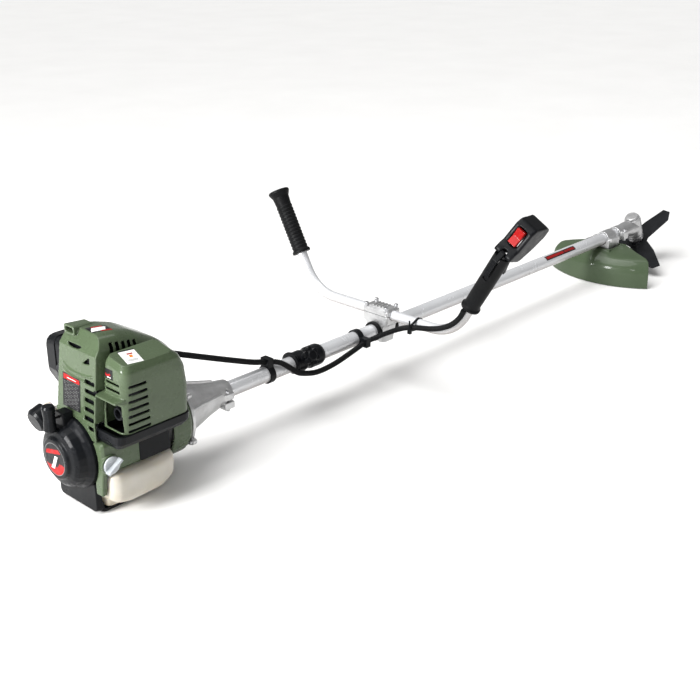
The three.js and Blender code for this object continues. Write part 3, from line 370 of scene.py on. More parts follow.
def smooth_rows(rows, count=48, width=5):
    """Resamples [t, (a0, a1), (b0, b1), radius] rows and rounds off the kinks between them."""
    flat = np.array([[t, *a, *b, r] for t, a, b, r in rows], float)
    t = np.linspace(flat[0, 0], flat[-1, 0], count)
    values = np.stack([np.interp(t, flat[:, 0], flat[:, i]) for i in range(1, 6)], 1)
    kernel = np.hanning(width + 2)[1:-1]
    kernel /= kernel.sum()
    padded = np.pad(values, ((width // 2, width // 2), (0, 0)), mode="edge")
    softer = np.stack([np.convolve(padded[:, i], kernel, "valid") for i in range(5)], 1)
    return [(t[k], tuple(v[0:2]), tuple(v[2:4]), v[4]) for k, v in enumerate(softer)]


def loft_x(name, rows, warp=lambda p: p, **options):
    return loft(name, [[warp((x, u, v)) for u, v in rounded(y, z, r)]
                       for x, y, z, r in smooth_rows(rows, **options)])


def loft_y(name, rows, warp=lambda p: p, **options):
    return loft(name, [[warp((v, y, u)) for u, v in rounded(z, x, r)]
                       for y, x, z, r in smooth_rows(rows, **options)])


def loft_z(name, rows, warp=lambda p: p, **options):
    return loft(name, [[warp((u, v, z)) for u, v in rounded(x, y, r)]
                       for z, x, y, r in smooth_rows(rows, **options)])


def box(name, x, y, z):
    ring = [(x[0], y[0]), (x[1], y[0]), (x[1], y[1]), (x[0], y[1])]
    return loft(name, [[(a, b, height) for a, b in ring] for height in z])


def prism_y(name, outline, y):
    """Outline of (x, z) points, pushed between two y values."""
    return loft(name, [[(a, depth, b) for a, b in outline] for depth in y])


def turned(name, profile, sides=48, origin=(0, 0, 0), along=X_AXIS):
    """Lathe piece; profile is a list of (distance along the axis, radius)."""
    turn = Vector(along).normalized()
    side = turn.orthogonal().normalized()
    other = turn.cross(side)
    angles = [2 * math.pi * i / sides for i in range(sides)]
    rings = []
    for distance, radius in profile:
        centre = Vector(origin) + turn * distance
        rings.append([tuple(centre + side * radius * math.cos(a) + other * radius * math.sin(a))
                      for a in angles])
    return loft(name, rings)


def rod(name, a, b, radius, sides=32):
    axis = Vector(b) - Vector(a)
    return turned(name, [(0, radius), (axis.length, radius)], sides, a, axis)


def curve_points(points, count):
    """Evenly spaced points on a smooth curve through the given ones."""
    p = np.array(points, float)
    ends = [2 * p[0] - p[1], *p, 2 * p[-1] - p[-2]]
    dense = []
    for i in range(len(p) - 1):
        a, b, c, d = ends[i:i + 4]
        for t in np.linspace(0, 1, 24, endpoint=False):
            dense.append(0.5 * (2 * b + (c - a) * t + (2 * a - 5 * b + 4 * c - d) * t ** 2
                                + (3 * b - a - 3 * c + d) * t ** 3))
    dense = np.array([*dense, p[-1]])
    travelled = np.concatenate([[0], np.cumsum(np.linalg.norm(np.diff(dense, axis=0), axis=1))])
    spots = np.linspace(0, travelled[-1], count)
    return np.stack([np.interp(spots, travelled, dense[:, i]) for i in range(3)], 1)


def swept(name, line, radii, sides=24):
    """Round bar along a line of points, with a radius at each point."""
    line = [Vector(p) for p in line]
    side = (line[1] - line[0]).orthogonal().normalized()
    angles = [2 * math.pi * k / sides for k in range(sides)]
    rings = []
    for i, centre in enumerate(line):
        ahead = (line[min(i + 1, len(line) - 1)] - line[max(i - 1, 0)]).normalized()
        side = (side - ahead * side.dot(ahead)).normalized()
        other = ahead.cross(side)
        rings.append([tuple(centre + (side * math.cos(a) + other * math.sin(a)) * radii[i])
                      for a in angles])
    return loft(name, rings)


def applied(piece, kind, **settings):
    """Adds one modifier and applies it."""
    modifier = piece.modifiers.new(kind.lower(), kind)
    for key, value in settings.items():
        setattr(modifier, key, value)
    graph = bpy.context.evaluated_depsgraph_get()
    mesh = bpy.data.meshes.new_from_object(piece.evaluated_get(graph))
    piece.modifiers.clear()
    old = piece.data
    piece.data = mesh
    bpy.data.meshes.remove(old)
    return piece


def combine(operation, piece, *others):
    """Boolean of a piece with others, which are used up."""
    for other in others:
        applied(piece, "BOOLEAN", operation=operation, object=other, solver="MANIFOLD")
        bpy.data.objects.remove(other)
    return piece


def minus(piece, *others):
    return combine("DIFFERENCE", piece, *others)


def plus(piece, *others):
    return combine("UNION", piece, *others)


def shade(piece, angle=40.0):
    piece.data.shade_smooth()
    piece.data.set_sharp_from_angle(angle=math.radians(angle))
    return piece


def soften(piece, voxel, rounds):
    """Remeshes a solid finely and smooths it, which rounds its edges as a mould does."""
    applied(piece, "REMESH", mode="VOXEL", voxel_size=voxel * MM, adaptivity=0.0)
    applied(piece, "SMOOTH", factor=0.5, iterations=rounds)
    piece.data.shade_smooth()
    return piece


def fit_out(piece, slot, body="machine"):
    """Gives a piece its slot, its look and its body."""
    piece.data.materials.clear()
    piece.data.materials.append(LOOKS[slot])
    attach(piece, body)
    return piece


def stands_for(piece, node, slot):
    """A detailed piece that takes the place of a CAD node, on that node's body."""
    body = frame["nodes"][node]["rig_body"]
    fit_out(piece, slot, body)
    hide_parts(node)
    return piece


def moulded_copy(node, slot, voxel, rounds):
    """A fine copy of a CAD node with rounded edges."""
    piece = bpy.data.objects.new(node + "_moulded", frame["nodes"][node].data.copy())
    bpy.context.scene.collection.objects.link(piece)
    soften(piece, voxel, rounds)
    return stands_for(piece, node, slot)


# ---------------------------------------------------------------- labels


LABEL_LIFT = 0.25  # how far a label stands off the piece it is laid on


def inked(sheet, ink_of, facing):
    """Gives each face of a label its ink, and turns the label towards a direction."""
    fit_out(sheet, "black_plastic")
    sheet.data.materials.clear()
    for material in INKS.values():
        sheet.data.materials.append(material)
    names = list(INKS)
    for polygon in sheet.data.polygons:
        polygon.material_index = names.index(ink_of(polygon))
    if sheet.data.polygons[0].normal.dot(facing) < 0:
        sheet.data.flip_normals()


def decal(name, target, corner, u_edge, v_edge, ray, cells, ink_at):
    """Label laid on a piece: a grid from a corner is dropped along a ray; ink_at gives each cell's ink."""
    tree = BVHTree.FromObject(target, bpy.context.evaluated_depsgraph_get())
    corner, u_edge, v_edge, ray = (Vector(v) for v in (corner, u_edge, v_edge, ray))
    ray.normalize()
    row = cells[0] + 1
    points = []
    for index in range(row * (cells[1] + 1)):
        start = corner + u_edge * (index % row / cells[0]) + v_edge * (index // row / cells[1])
        hit = tree.ray_cast(at(*start), ray)[0]
        assert hit is not None, f"{name} misses its piece at {tuple(start)}"
        points.append((hit - ray * LABEL_LIFT * MM) / MM - Vector((0, 0, AXIS)))
    quads = [(j * row + i, j * row + i + 1, (j + 1) * row + i + 1, (j + 1) * row + i)
             for j in range(cells[1]) for i in range(cells[0])]
    sheet = mesh_piece(name, points, quads)
    sheet.data.shade_smooth()

    def ink_of(polygon):
        j, i = divmod(polygon.index, cells[0])
        return ink_at((i + 0.5) / cells[0], (j + 0.5) / cells[1])

    inked(sheet, ink_of, -ray)


# ---------------------------------------------------------------- CAD nodes that stay

SLOT_OF = {
    "cast_alloy": ["crankcase", "cylinder", "piston", "flywheel_fan", "carburetor"],
    "steel": ["crankshaft", "centrifugal_clutch", "clutch_drum", "rear_drive_shaft", "front_drive_shaft",
              "drive_pinion", "throttle_arm", "output_shaft", "upper_flange", "blade_nut"],
    "black_plastic": ["valve_cover", "ignition_coil", "starter_pulley", "choke_lever"],
    "black_rubber": ["spark_plug"],
    "black_steel": ["muffler", "blade"],
    "filter_foam": ["air_filter"],
    "bush_bronze": ["shaft_bush"],
}


def dress_cad_nodes():
    for slot, nodes in SLOT_OF.items():
        for node in nodes:
            piece = frame["nodes"][node]
            piece.data.materials.clear()
            piece.data.materials.append(LOOKS[slot])


# Copies with rounded edges: node, slot, voxel in mm, smoothing rounds.
COPIES = [
    ("fan_cover", "green_paint", 0.9, 4),
    ("side_cover", "green_paint", 0.7, 5),
    ("recoil_housing", "black_plastic", 0.8, 6),
    ("clutch_housing", "cast_alloy", 0.8, 5),
    ("air_cleaner_base", "black_plastic", 0.9, 4),
    ("air_cleaner_cover", "black_plastic", 0.9, 8),
    ("muffler_tray", "black_plastic", 0.8, 5),
    ("fuel_tank", "tank_plastic", 1.8, 48),
    ("engine_foot", "black_plastic", 0.8, 4),
    ("fuel_cap", "black_plastic", 0.5, 4),
    ("oil_cap", "clear_plastic", 0.4, 4),
    ("primer_bulb", "clear_plastic", 0.4, 4),
    ("starter_grip", "black_plastic", 0.4, 4),
    ("shaft_coupler", "black_plastic", 0.5, 4),
    ("coupler_knob", "black_plastic", 0.4, 5),
    ("bar_clamp_lower", "cast_alloy", 0.5, 4),
    ("bar_clamp_upper", "cast_alloy", 0.5, 4),
    ("clamp_rubber_sleeve", "black_rubber", 0.5, 4),
    ("throttle_housing", "black_plastic", 1.2, 44),
    ("throttle_trigger", "black_plastic", 0.4, 5),
    ("lockout_lever", "black_plastic", 0.4, 5),
    ("stop_switch", "red_plastic", 0.35, 5),
    ("cable_clip_rear", "black_plastic", 0.4, 4),
    ("cable_clip_front", "black_plastic", 0.4, 4),
    ("gear_head", "cast_alloy", 0.6, 5),
    ("gear_head_cap", "cast_alloy", 0.4, 4),
    ("guard_clamp", "cast_alloy", 0.5, 4),
]

# ---------------------------------------------------------------- engine covers

COVER_ROWS = [
    (-62, (-60, 33), (50, 186), 20), (-50, (-62, 33), (50, 190), 22), (-30, (-62, 33), (50, 191), 24),
    (-5, (-62, 33), (50, 189), 26), (25, (-61, 33), (50, 180), 28), (50, (-59, 33), (50, 166), 28),
    (72, (-57, 32), (50, 153), 26), (90, (-53, 30), (50, 138), 24), (104, (-46, 26), (50, 118), 20),
    (112, (-38, 20), (50, 102), 16),
]
MUFFLER_ROWS = [
    (55, (-46, 73), (-108, -49), 12), (100, (-46, 72), (-114, -57), 14), (135, (-46, 65), (-118, -63), 14),
    (153, (-45, 55), (-118, -67), 12), (160, (-39, 43), (-112, -72), 9),
]
ARCH_RADIUS = 58.5
INLET_X = 16.0


def ramp(value, low, high):
    return min(1.0, max(0.0, (value - low) / (high - low)))


def lean(point):
    """The top cover widens on the muffler side and narrows on the other as it rises."""
    x, y, z = point
    rise = ramp(z, 50, 170)
    return (x, y * (0.97 + 0.05 * rise if y < 0 else 1.14 - 0.32 * rise), z)


def roof_fall(point):
    """The roof of the muffler cover falls towards the outside."""
    x, y, z = point
    return (x, y, z + ramp(z, 110, 160) * 0.2 * (y + 118))


def inset(rows, wall):
    last = len(rows) - 1
    return [(x + wall if i == 0 else x - (wall if i == last else 0), (y[0] + wall, y[1] - wall),
             (z[0] - 40, z[1] - wall), r - wall / 2) for i, (x, y, z, r) in enumerate(rows)]


def rear_face(y, z):
    """A point on the slanted rear face of the top cover."""
    return (-62 + (z - 56) * 10 / 109, y, z)


def rear_cut(outline):
    """Tool that cuts an outline of (y, z) points through the rear wall."""
    return loft("cut", [[(x, y, z) for y, z in outline] for x in (-75, -38)])


def build_top_cover():
    slope = [(-70, 48), (-62, 56), (-52, 165), (-36, 191), (-36, 220), (-90, 220), (-90, 48)]
    inner_slope = [(x + 2.8, z - 1.2) for x, z in slope]
    cover = minus(loft_x("top_cover_moulded", COVER_ROWS, lean), prism_y("cut", slope, (-90, 60)))
    apron = box("apron", (-62, -59.2), (-58, 38), (33.6, 64))
    duct = loft_x("duct", [(-47, (-6, 20), (181, 195), 4), (-14, (-4, 18), (172, 193), 4)])
    plus(cover, apron, duct)
    for drop in (0, 8):
        line = [(18, 137), (8.5, 132), (-5, 129.6), (-23, 129.2), (-40, 130.6), (-54, 133.4)]
        smooth = curve_points([rear_face(y, z - drop) for y, z in line], 40)
        plus(cover, swept("ridge", smooth, [1.7] * 40, 16))
    core = minus(loft_x("core", inset(COVER_ROWS, 2.8), lean), prism_y("cut", inner_slope, (-90, 60)))
    mouth = loft_x("mouth", [(-60, (-3, 17), (184, 192), 3), (-30, (-2, 16), (183, 191), 3)])
    room = [(z, (x[0] - 0.3, x[1] + 0.3), (y[0] - 0.3, y[1] + 0.3), r) for z, x, y, r in MUFFLER_ROWS]
    muffler_room = loft_z("room", [(40, *room[0][1:]), *room], roof_fall)
    arch = turned("arch", [(-90, ARCH_RADIUS), (-40, ARCH_RADIUS)], 96)
    fan_arch = turned("arch", [(60, 64), (130, 64)], 96)
    window = box("window", (-6, 43), (20, 44), (74, 118))
    inlet = box("inlet", (INLET_X - 11, INLET_X + 11), (-75, -40), (85, 107))
    visor_room = box("visor", (-60, -42), (-114, -56), (105, 114))
    smile = rear_cut([(12, 169.8), (-27, 169.8), (-17, 165.6), (-5, 164.6), (5, 166)])
    triangle = rear_cut([(-28, 147), (-46, 160), (-47, 150)])
    minus(cover, core, mouth, muffler_room, arch, fan_arch, window, inlet, visor_room, smile, triangle)
    for i in range(6):
        y = (-55 - 0.6 * i, (-42 if i == 0 else -32) - 0.6 * i)
        minus(cover, box("slot", (-70, -44), y, (49 + 14 * i, 56 + 14 * i)))
    for i in range(5):
        x = -27 + 10.5 * i
        minus(cover, box("slot", (x, x + 6.2), (-70, -46), (160 - i, 179 - 2 * i)))
    soften(cover, 0.8, 5)
    stands_for(cover, "top_cover", "green_paint")
    return cover


def build_muffler_cover():
    cover = loft_z("muffler_cover_moulded", MUFFLER_ROWS, roof_fall)
    core_rows = [(z - (2 if i == 0 else 2.5), (x[0] + 2.5, x[1] - 2.5), (y[0] + 2.5, y[1] - 2.5), r - 1.2)
                 for i, (z, x, y, r) in enumerate(MUFFLER_ROWS)]
    opening = box("opening", (-60, -30), (-104, -65), (58, 100))
    inlet = box("inlet", (INLET_X - 11, INLET_X + 11), (-75, -40), (85, 107))
    minus(cover, loft_z("core", core_rows, roof_fall), opening, inlet)
    for z in (119, 130):
        minus(cover, box("slit", (-60, -30), (-104, -70), (z, z + 3.5)))
    for i in range(7):
        minus(cover, box("slot", (-38, 1 - 1.5 * i), (-125, -104), (57 + 12 * i, 61 + 12 * i)))
    visor = loft_x("visor", [(-58, (-108, -61), (107, 110), 1), (-43, (-112, -58.5), (106, 113), 1)])
    plus(cover, visor)
    soften(cover, 0.8, 5)
    stands_for(cover, "muffler_cover", "green_paint")
    return cover


def rear_label_ink(u, v):
    """Red heading over a black panel with short grey strokes, none of them lettering."""
    if u < 0.04 or u > 0.96 or v < 0.03 or v > 0.97:
        return "black"
    if v > 0.82:
        return "white" if 0.87 < v < 0.89 and 0.25 < u < 0.75 else "red"
    row, column = int(v * 20), int(u * 22)
    return "grey" if v * 20 % 1 > 0.66 and 0.1 < u < 0.9 and (row * 7 + column * 5) % 9 < 3 else "black"


def roof_label_ink(u, v):
    """White flash across a black field with red corners."""
    slant = u + 0.35 * v
    if v < 0.22 and 0.25 < u < 0.8 or v > 0.8 and u > 0.45:
        return "red"
    return "white" if 0.3 < slant < 1.0 and 0.2 < v < 0.85 else "black"


def sticker_ink(u, v):
    """White sticker with a red mark, an orange mark and a dark top strip."""
    if v < 0.08:
        return "black"
    if 0.4 < u < 0.75 and 0.25 < v < 0.36:
        return "red"
    if 0.45 < u < 0.65 and 0.4 < v < 0.58:
        return "orange"
    return "grey" if 0.2 < u < 0.8 and 0.7 < v < 0.86 and (v * 25) % 1 > 0.6 else "white"


def small_label_ink(u, v):
    """Black plate with a red tick and a white bar."""
    if 0.15 < u < 0.75 and abs(v - 0.3 - 0.5 * abs(u - 0.4)) < 0.12:
        return "red"
    return "white" if 0.4 < u < 0.8 and 0.12 < v < 0.22 else "black"


def tube_label_ink(u, v):
    """Black band with a long red field and a short broken one."""
    if v < 0.18 or v > 0.82 or u < 0.03 or u > 0.97 or 0.6 < u < 0.64:
        return "black"
    return "black" if u > 0.64 and (u * 28 + v) % 1 < 0.25 else "red"


def badge_ink(y, z):
    """Round badge: grey ring, red band and a slanted white bar on a black and red ground."""
    radius = math.hypot(y, z)
    if radius > 24.5:
        return "grey" if radius < 25.8 else "black"
    if 9 < z + 0.25 * y < 16 and radius < 22:
        return "red"
    if abs(y + 0.5 * z + 2) < 3.6 and -16 < z < 6:
        return "white"
    return "red" if z < -4 and radius > 12 and y < -6 or z < -12 else "black"


def build_badge():
    """Badge disc on the flat face of the recoil starter."""
    rings, sides = 26, 64
    face = -97.3
    points = [(face, 0, 0)]
    for ring in range(1, rings + 1):
        for i in range(sides):
            angle = 2 * math.pi * i / sides
            points.append((face, ring * math.cos(angle), ring * math.sin(angle)))
    faces = [(0, 1 + i, 1 + (i + 1) % sides) for i in range(sides)]
    for ring in range(rings - 1):
        for i in range(sides):
            a, b = 1 + ring * sides + i, 1 + ring * sides + (i + 1) % sides
            faces.append((a, a + sides, b + sides, b))
    badge = mesh_piece("starter_badge", points, faces)
    inked(badge, lambda polygon: badge_ink(polygon.center.y / MM, polygon.center.z / MM - AXIS), -X_AXIS)


def build_covers():
    """The two green covers, black sheets behind their slots and on the side cover that stand for shade
    (painted shade), and their labels.
    """
    top = build_top_cover()
    muffler = build_muffler_cover()
    # Black sheets just inside the slots, so the slots show dark: painted shade.
    shade_sheets = (
        prism_y("rear_baffle", [(-57, 50), (-55, 50), (-45.2, 162), (-47.2, 162)], (-57, 28)),
        box("upper_baffle", (-45, -43.2), (-30, 16), (160, 175)),
        box("shoulder_baffle", (-26, 40), (-48, -46), (120, 168)),
    )
    for shade_sheet in shade_sheets:
        fit_out(soften(shade_sheet, 0.8, 2), "black_plastic")
    # A black plate on the side cover where shade falls beyond the green: painted shade.
    shade_plate = loft_y("side_shield", [(-72.4, (3, 59), (-15, 33), 4), (-70, (2, 60), (-16, 33.5), 4)], count=6)
    fit_out(soften(shade_plate, 0.6, 3), "black_plastic")
    decal("rear_label", top, (-80, 20, 70), (0, -44, 0), (0, 0, 52), X_AXIS, (44, 60), rear_label_ink)
    decal("roof_label", top, (-33, -13, 215), (31, -5, 0), (-3, -23, 0), -Z_AXIS, (40, 40), roof_label_ink)
    decal("roof_sticker", muffler, (-24, -74, 190), (25, -4, 0), (-7, -34, 0), -Z_AXIS, (40, 50), sticker_ink)
    decal("small_label", muffler, (-70, -69, 137), (0, -22, 0), (0, 0, 15), X_AXIS, (30, 24), small_label_ink)
    build_badge()


# ---------------------------------------------------------------- tubes, bar, grips

SPLIT = 424.0
BAR_X, BAR_Z, BAR_RADIUS = 624.0, 33.0, 10.0
BAR_BEND = Vector((BAR_X, 172, BAR_Z))
GRIP_START = Vector((BAR_X + 1, 213, 104))
GRIP_END = GRIP_START + (BAR_BEND - GRIP_START) * -1.61
GRIP_AXIS = (GRIP_END - GRIP_START).normalized()
TRIM = 19.0  # the right grip stops this far short, at the throttle head
REACH = 12.0  # and starts this much lower
HEAD_LEAN = math.radians(16)  # the throttle head leans forward of its grip


def mirrored(point):
    return Vector((point[0], -point[1], point[2]))


def pipe(name, node, start, end, outer, inner):
    """Tube along the shaft axis with broken outer edges."""
    edge, core = 0.5, inner - 0.05
    profile = [(start, core), (start, outer - edge), (start + edge, outer), (end - edge, outer),
               (end, outer - edge), (end, core)]
    piece = turned(name, profile, 96)
    minus(piece, turned("bore", [(start - 5, inner), (end + 5, inner)], 96))
    return stands_for(shade(piece), node, "silver_tube")


def bar_points():
    rise = GRIP_START - BAR_BEND
    tip = BAR_BEND + rise.normalized() * (rise.length + 118)
    out = tip - BAR_BEND
    start = BAR_BEND + (Vector((BAR_X, 0, BAR_Z)) - BAR_BEND).normalized() * 52
    end = BAR_BEND + out.normalized() * 52
    bend = [start * (1 - t) ** 2 + BAR_BEND * 2 * t * (1 - t) + end * t ** 2 for t in np.linspace(0, 1, 9)]
    left = [*bend, BAR_BEND + out.normalized() * 100, BAR_BEND + out.normalized() * 150, tip]
    right = [mirrored(p) for p in left][::-1]
    return [*right, Vector((BAR_X, -60, BAR_Z)), Vector((BAR_X, 60, BAR_Z)), *left]


def build_bar():
    line = curve_points(bar_points(), 220)
    right_end = mirrored(GRIP_END) - mirrored(GRIP_AXIS) * (TRIM + 4)
    keep = [p for p in line if (Vector(p) - right_end).dot(mirrored(GRIP_AXIS)) < 0 or p[1] > 0]
    bar = swept("handlebar_swept", keep, [BAR_RADIUS - 0.05] * len(keep), 48)
    stands_for(shade(bar), "handlebar", "silver_tube")


def ribbed_profile(start, end, low, high, pitch):
    """Profile of a grip's middle: rings that stand a little proud."""
    points = []
    position = start
    while position + pitch <= end:
        for share, radius in ((0.0, low), (0.18, high), (0.62, high), (0.8, low)):
            points.append((position + share * pitch, radius))
        position += pitch
    return points


def build_left_grip():
    length = (GRIP_END - GRIP_START).length
    ribs = ribbed_profile(10, length - 30, 15.0, 15.9, 7.0)
    profile = [(0, 18), (3, 18.5), (5, 18.2), (8, 15.4), *ribs, (length - 26, 15.6), (length - 14, 16.6),
               (length - 5, 21.2), (length - 2, 21.2), (length, 19.5)]
    grip = turned("left_grip_ribbed", profile, 64, GRIP_START, GRIP_AXIS)
    minus(grip, rod("bore", GRIP_START - GRIP_AXIS * 5, GRIP_END - GRIP_AXIS * 6, BAR_RADIUS + 0.1, 48))
    stands_for(soften(grip, 0.5, 2), "left_grip", "black_rubber")


def on_right_grip(forward, up, side, angle=0.0):
    """A point in the throttle head's own directions, in mm from the shaft axis."""
    along = mirrored(GRIP_AXIS)
    ahead = (X_AXIS - along * X_AXIS.dot(along)).normalized()
    across = ahead.cross(along)
    turn = Matrix.Rotation(-angle, 3, across)
    origin = mirrored(GRIP_END) - along * TRIM
    return origin + (turn @ ahead) * forward + (turn @ along) * up + across * side


def head_block(name, forward, up, side, angle=0.0):
    ring = [(forward[0], up[0]), (forward[1], up[0]), (forward[1], up[1]), (forward[0], up[1])]
    return loft(name, [[tuple(on_right_grip(f, u, s, angle)) for f, u in ring] for s in side])


def build_right_grip():
    along = mirrored(GRIP_AXIS)
    start = mirrored(GRIP_START) - along * REACH
    end = mirrored(GRIP_END) - along * TRIM
    length = (end - start).length
    profile = [(0, 18), (4, 18.2), (6, 16), (8, 15.4), (12, 15.0), (40, 15.3), (length - 14, 15.5),
               (length, 15.5)]
    grip = turned("right_grip_smooth", profile, 64, start, along)
    bore = rod("bore", start - along * 5, end + along * 5, BAR_RADIUS + 0.1, 48)
    trigger_room = head_block("cut", (8, 44), (-66, 10), (-5.2, 5.2))
    lever_room = head_block("cut", (-30, -11.2), (-52, 10), (-5.4, 5.4))
    corner_room = head_block("cut", (-12, -4), (-12, 10), (-5.4, 5.4))
    head_room = head_block("cut", (-60, 60), (-0.6, 40), (-30, 30), HEAD_LEAN)
    minus(grip, bore, trigger_room, lever_room, corner_room, head_room)
    stands_for(soften(grip, 0.5, 2), "right_grip", "black_rubber")


# ---------------------------------------------------------------- throttle cable

CONDUIT_ROUTE = [
    (36, 62, 106), (60, 62, 110), (86, 52, 111), (105, 34, 105), (140, 18, 91), (200, 8, 68), (262, 3, 44),
    (300, 1, 30), (328, 0, 22.5), (345, -12, 19.5), (358, -21, 10), (370, -25, -1), (386, -26, -10),
    (424, -25, -20), (470, -24, -19), (520, -23, -10), (553, -24, -2), (582, -37, 7), (602, -58, 18),
    (606, -80, 27), (606, -104, 33), (606.5, -130, 38), (607, -156, 46), (607.5, -180, 59), (608, -197, 76),
    (609, -205.2, 92),
]


def build_cable():
    """Corrugated conduit around the throttle cable, with a smooth cuff at each end."""
    pitch = 3.0
    line = curve_points(CONDUIT_ROUTE, 1500)
    travelled = np.concatenate([[0], np.cumsum(np.linalg.norm(np.diff(line, axis=0), axis=1))])
    wave = 4.75 + 0.38 * np.tanh(2.2 * np.sin(2 * np.pi * travelled / pitch))
    cuff = (travelled < 16) | (travelled > travelled[-1] - 16)
    conduit = swept("throttle_conduit", line, np.where(cuff, 5.1, wave), 20)
    stands_for(shade(conduit, 60), "throttle_cable", "black_rubber")


# ---------------------------------------------------------------- screws and small parts

def socket_screw(name, seat, along, radius, height):
    """Cap screw with a bevelled head and a hexagon socket."""
    profile = [(0, radius), (height - 0.7, radius), (height, radius - 0.7)]
    head = turned(name, profile, 32, seat, along)
    deep = Vector(seat) + Vector(along).normalized() * height * 0.45
    minus(head, turned("hex", [(0, radius * 0.52), (height, radius * 0.52)], 6, deep, along))
    fit_out(shade(head, 30), "steel")


def build_screws():
    for i, (dx, dy) in enumerate(((-14.3, -24.5), (-14.3, 24.5), (14.3, -24.5), (14.3, 24.5))):
        socket_screw(f"bar_clamp_screw_{i}", (BAR_X + dx, dy, 42), Z_AXIS, 4.2, 9)
    socket_screw("bar_clamp_lower_screw", (BAR_X, 0, -21), -Z_AXIS, 4.2, 7)
    socket_screw("clutch_clamp_screw_upper", (220, -19.5, 5), Z_AXIS, 3.6, 4.5)
    socket_screw("clutch_clamp_screw_lower", (220, -19.5, -22), -Z_AXIS, 3.6, 4.5)
    socket_screw("head_clamp_screw", (1489, -22, 9), Z_AXIS, 4.2, 5)
    socket_screw("head_clamp_nut", (1489, -22, -9), -Z_AXIS, 4.2, 4)
    for i, (y, z) in enumerate(((-44, 43), (-51, -34), (44, 43), (51, -34))):
        lug = turned(f"flange_lug_{i}", [(0, 5.4), (8, 5.4)], 32, (115, y, z), X_AXIS)
        fit_out(soften(lug, 0.4, 3), "cast_alloy")
        socket_screw(f"flange_screw_{i}", (115, y, z), -X_AXIS, 3.6, 4)


def outline_around(circles, extra, sides=40):
    """Convex outline around circles of (x, z, radius), as (x, z) points."""
    angles = [2 * math.pi * i / sides for i in range(sides)]
    points = sorted((x + (r + extra) * math.cos(a), z + (r + extra) * math.sin(a))
                    for x, z, r in circles for a in angles)

    def turns_out(a, b, c):
        return (b[0] - a[0]) * (c[1] - a[1]) <= (b[1] - a[1]) * (c[0] - a[0])

    def half(ordered):
        chain = []
        for p in ordered:
            while len(chain) > 1 and turns_out(chain[-2], chain[-1], p):
                chain.pop()
            chain.append(p)
        return chain[:-1]

    return half(points) + half(points[::-1])


def build_cable_tie():
    """Tie that holds the throttle conduit against the bar, with its buckle and tail."""
    circles = [(BAR_X, BAR_Z, BAR_RADIUS), (606, 30, 5.2)]
    tie = prism_y("bar_cable_tie", outline_around(circles, 1.5), (-94, -89))
    minus(tie, prism_y("cut", outline_around(circles, 0.15), (-96, -87)))
    buckle = box("buckle", (596, 601.5), (-95, -88), (20, 29))
    tail = box("tail", (597.5, 598.7), (-93.2, -89.8), (26, 46))
    plus(tie, buckle, tail)
    fit_out(soften(tie, 0.35, 2), "black_plastic")


def build_rope():
    """Short run of starter rope between the guide and the grip."""
    line = [(x, 4, 62) for x in np.linspace(-79, -89, 12)]
    rope = shade(swept("starter_rope", line, [1.7 + 0.12 * (i % 2) for i in range(12)], 16))
    rope.data.materials.append(LOOKS["black_rubber"])
    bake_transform(rope)


GUARD_X = 1584.0  # centre of the guard's sweep, a little ahead of the gear-head output
GUARD_WALL = 3.0
GUARD_CROWN = [(112, 0, -17.5), (150, 0, -21), (185, 0, -30), (202, 0, -44), (208, 0, -62), (209.6, 0, -95)]
HUMP_HEIGHT, HUMP_SPREAD = 9.0, 24.0


def guard_ring(side):
    """Closed section of the guard at one side position from -1 to 1, with the hump in its middle."""
    count = 30
    crown = curve_points(GUARD_CROWN, count)
    last = count - 1
    outer, inner = [], []
    for i, (radius, _, z) in enumerate(crown):
        ahead, behind = crown[min(i + 1, last)], crown[max(i - 1, 0)]
        run = Vector((ahead[0] - behind[0], ahead[2] - behind[2])).normalized()
        angle = side * math.radians(17 + 22 * min(1, (radius - 110) / 76))
        across = math.exp(-(radius * math.sin(angle) / HUMP_SPREAD) ** 2)
        hump = across * HUMP_HEIGHT * math.sin(math.pi * i / last) ** 0.7
        for depth, wall in ((hump, outer), (hump - GUARD_WALL, inner)):
            reach = radius - run.y * depth
            height = max(z + run.x * depth, 0.5 - AXIS)
            wall.append((GUARD_X - reach * math.cos(angle), reach * math.sin(angle), height))
    return outer + inner[::-1]


def build_guard():
    """Swept guard with a pocket for its clamp."""
    guard = loft("blade_guard_moulded", [guard_ring(side) for side in np.linspace(-1, 1, 57)])
    plus(guard, box("pocket", (1411, 1473), (-29, 29), (-28.5, -18.5)))
    minus(guard, box("clamp_room", (1415, 1469), (-25.5, 25.5), (-25, 14)))
    stands_for(soften(guard, 0.9, 8), "blade_guard", "guard_green")


# ---------------------------------------------------------------- the object

dress_cad_nodes()
for node, slot, voxel, rounds in COPIES:
    moulded_copy(node, slot, voxel, rounds)
build_covers()
pipe("rear_tube_smooth", "rear_tube", 206, SPLIT - 0.3, 14.0, 12.4)
front = pipe("front_tube_smooth", "front_tube", SPLIT + 0.3, 1512, 14.0, 12.4)
decal("tube_label", front, (1170, -16.4, 26.5), (118, 0, 0), (0, -7.3, -8.2), (0, 0.745, -0.667),
      (96, 14), tube_label_ink)
build_bar()
build_left_grip()
build_right_grip()
build_cable()
build_screws()
build_cable_tie()
build_rope()
build_guard()

# ---------------------------------------------------------------- studio


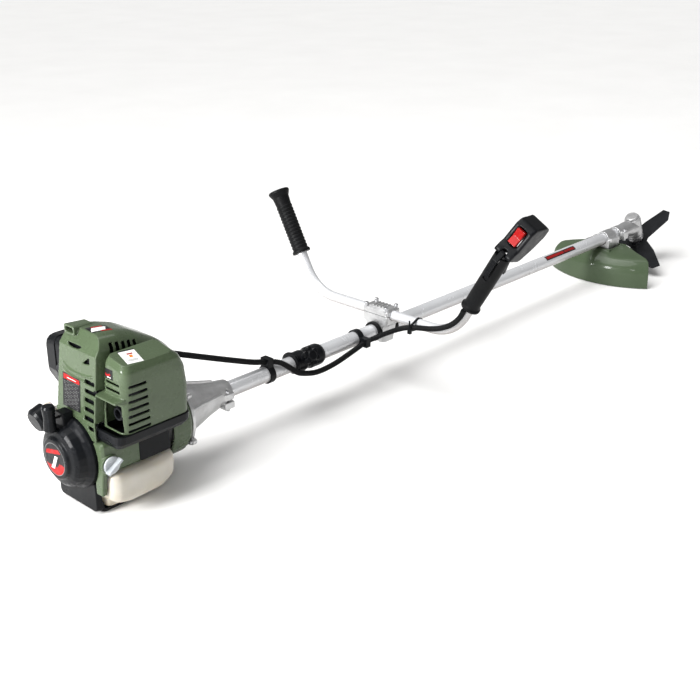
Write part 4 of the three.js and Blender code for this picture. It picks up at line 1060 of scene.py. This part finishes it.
def build_camera():
    """Looks down at the machine from behind its right side."""
    camera = bpy.data.cameras.new("camera")
    camera.sensor_width = 36.0
    camera.lens = 56.57
    camera.clip_end = 50.0
    holder = bpy.data.objects.new("camera", camera)
    bpy.context.scene.collection.objects.link(holder)
    heading, drop = math.radians(43.0), math.radians(22.54)
    ahead = Vector((math.cos(drop) * math.cos(heading), math.cos(drop) * math.sin(heading), -math.sin(drop)))
    holder.rotation_euler = ahead.to_track_quat("-Z", "Y").to_euler()
    holder.location = Vector((-845.4, -1289.1, 861.3)) * MM
    bpy.context.scene.camera = holder


def area_light(name, place, target, size, power):
    light = bpy.data.lights.new(name, "AREA")
    light.shape = "RECTANGLE"
    light.size, light.size_y = size
    light.energy = power
    holder = bpy.data.objects.new(name, light)
    holder.location = place
    holder.rotation_euler = (Vector(target) - Vector(place)).to_track_quat("-Z", "Y").to_euler()
    bpy.context.scene.collection.objects.link(holder)


def build_floor():
    size = 30.0
    mesh = bpy.data.meshes.new("floor")
    corners = [(-size, -size, 0), (size, -size, 0), (size, size, 0), (-size, size, 0)]
    mesh.from_pydata(corners, [], [(0, 1, 2, 3)])
    floor = bpy.data.objects.new("floor", mesh)
    bpy.context.scene.collection.objects.link(floor)
    look = Look("floor", Specular_IOR_Level=0.2)
    cloud = look.span(look.noise(3.0, 4.0), 0.3, 0.7)
    look.colour(look.mix(cloud, (0.90, 0.895, 0.885), (0.87, 0.865, 0.855)))
    look.rough(look.span(look.noise(20.0, 3.0), 0.3, 0.7, 0.65, 0.8))
    mesh.materials.append(look.material)


def sun(strength, towards, spread):
    light = bpy.data.lights.new("sky_light", "SUN")
    light.energy = strength
    light.angle = math.radians(spread)
    holder = bpy.data.objects.new("sky_light", light)
    holder.rotation_euler = Vector(towards).to_track_quat("-Z", "Y").to_euler()
    bpy.context.scene.collection.objects.link(holder)


def build_studio():
    world = bpy.data.worlds.new("studio")
    world.use_nodes = True
    world.node_tree.nodes["Background"].inputs[0].default_value = (1.0, 1.0, 1.0, 1.0)
    world.node_tree.nodes["Background"].inputs[1].default_value = 0.34
    bpy.context.scene.world = world
    sun(2.5, (0.45, -0.2, -1.0), 50)
    area_light("key", (-1.9, 0.2, 0.9), (0.0, 0, 0.15), (0.7, 0.7), 80)
    area_light("overhead", (0.9, 0.3, 2.6), (0.8, 0, 0), (2.6, 0.7), 14)
    area_light("front", (-1.1, -1.5, 1.05), (0.0, 0, 0.1), (0.28, 0.28), 5)
    bpy.context.scene.view_settings.view_transform = "Standard"


build_camera()
build_floor()
build_studio()
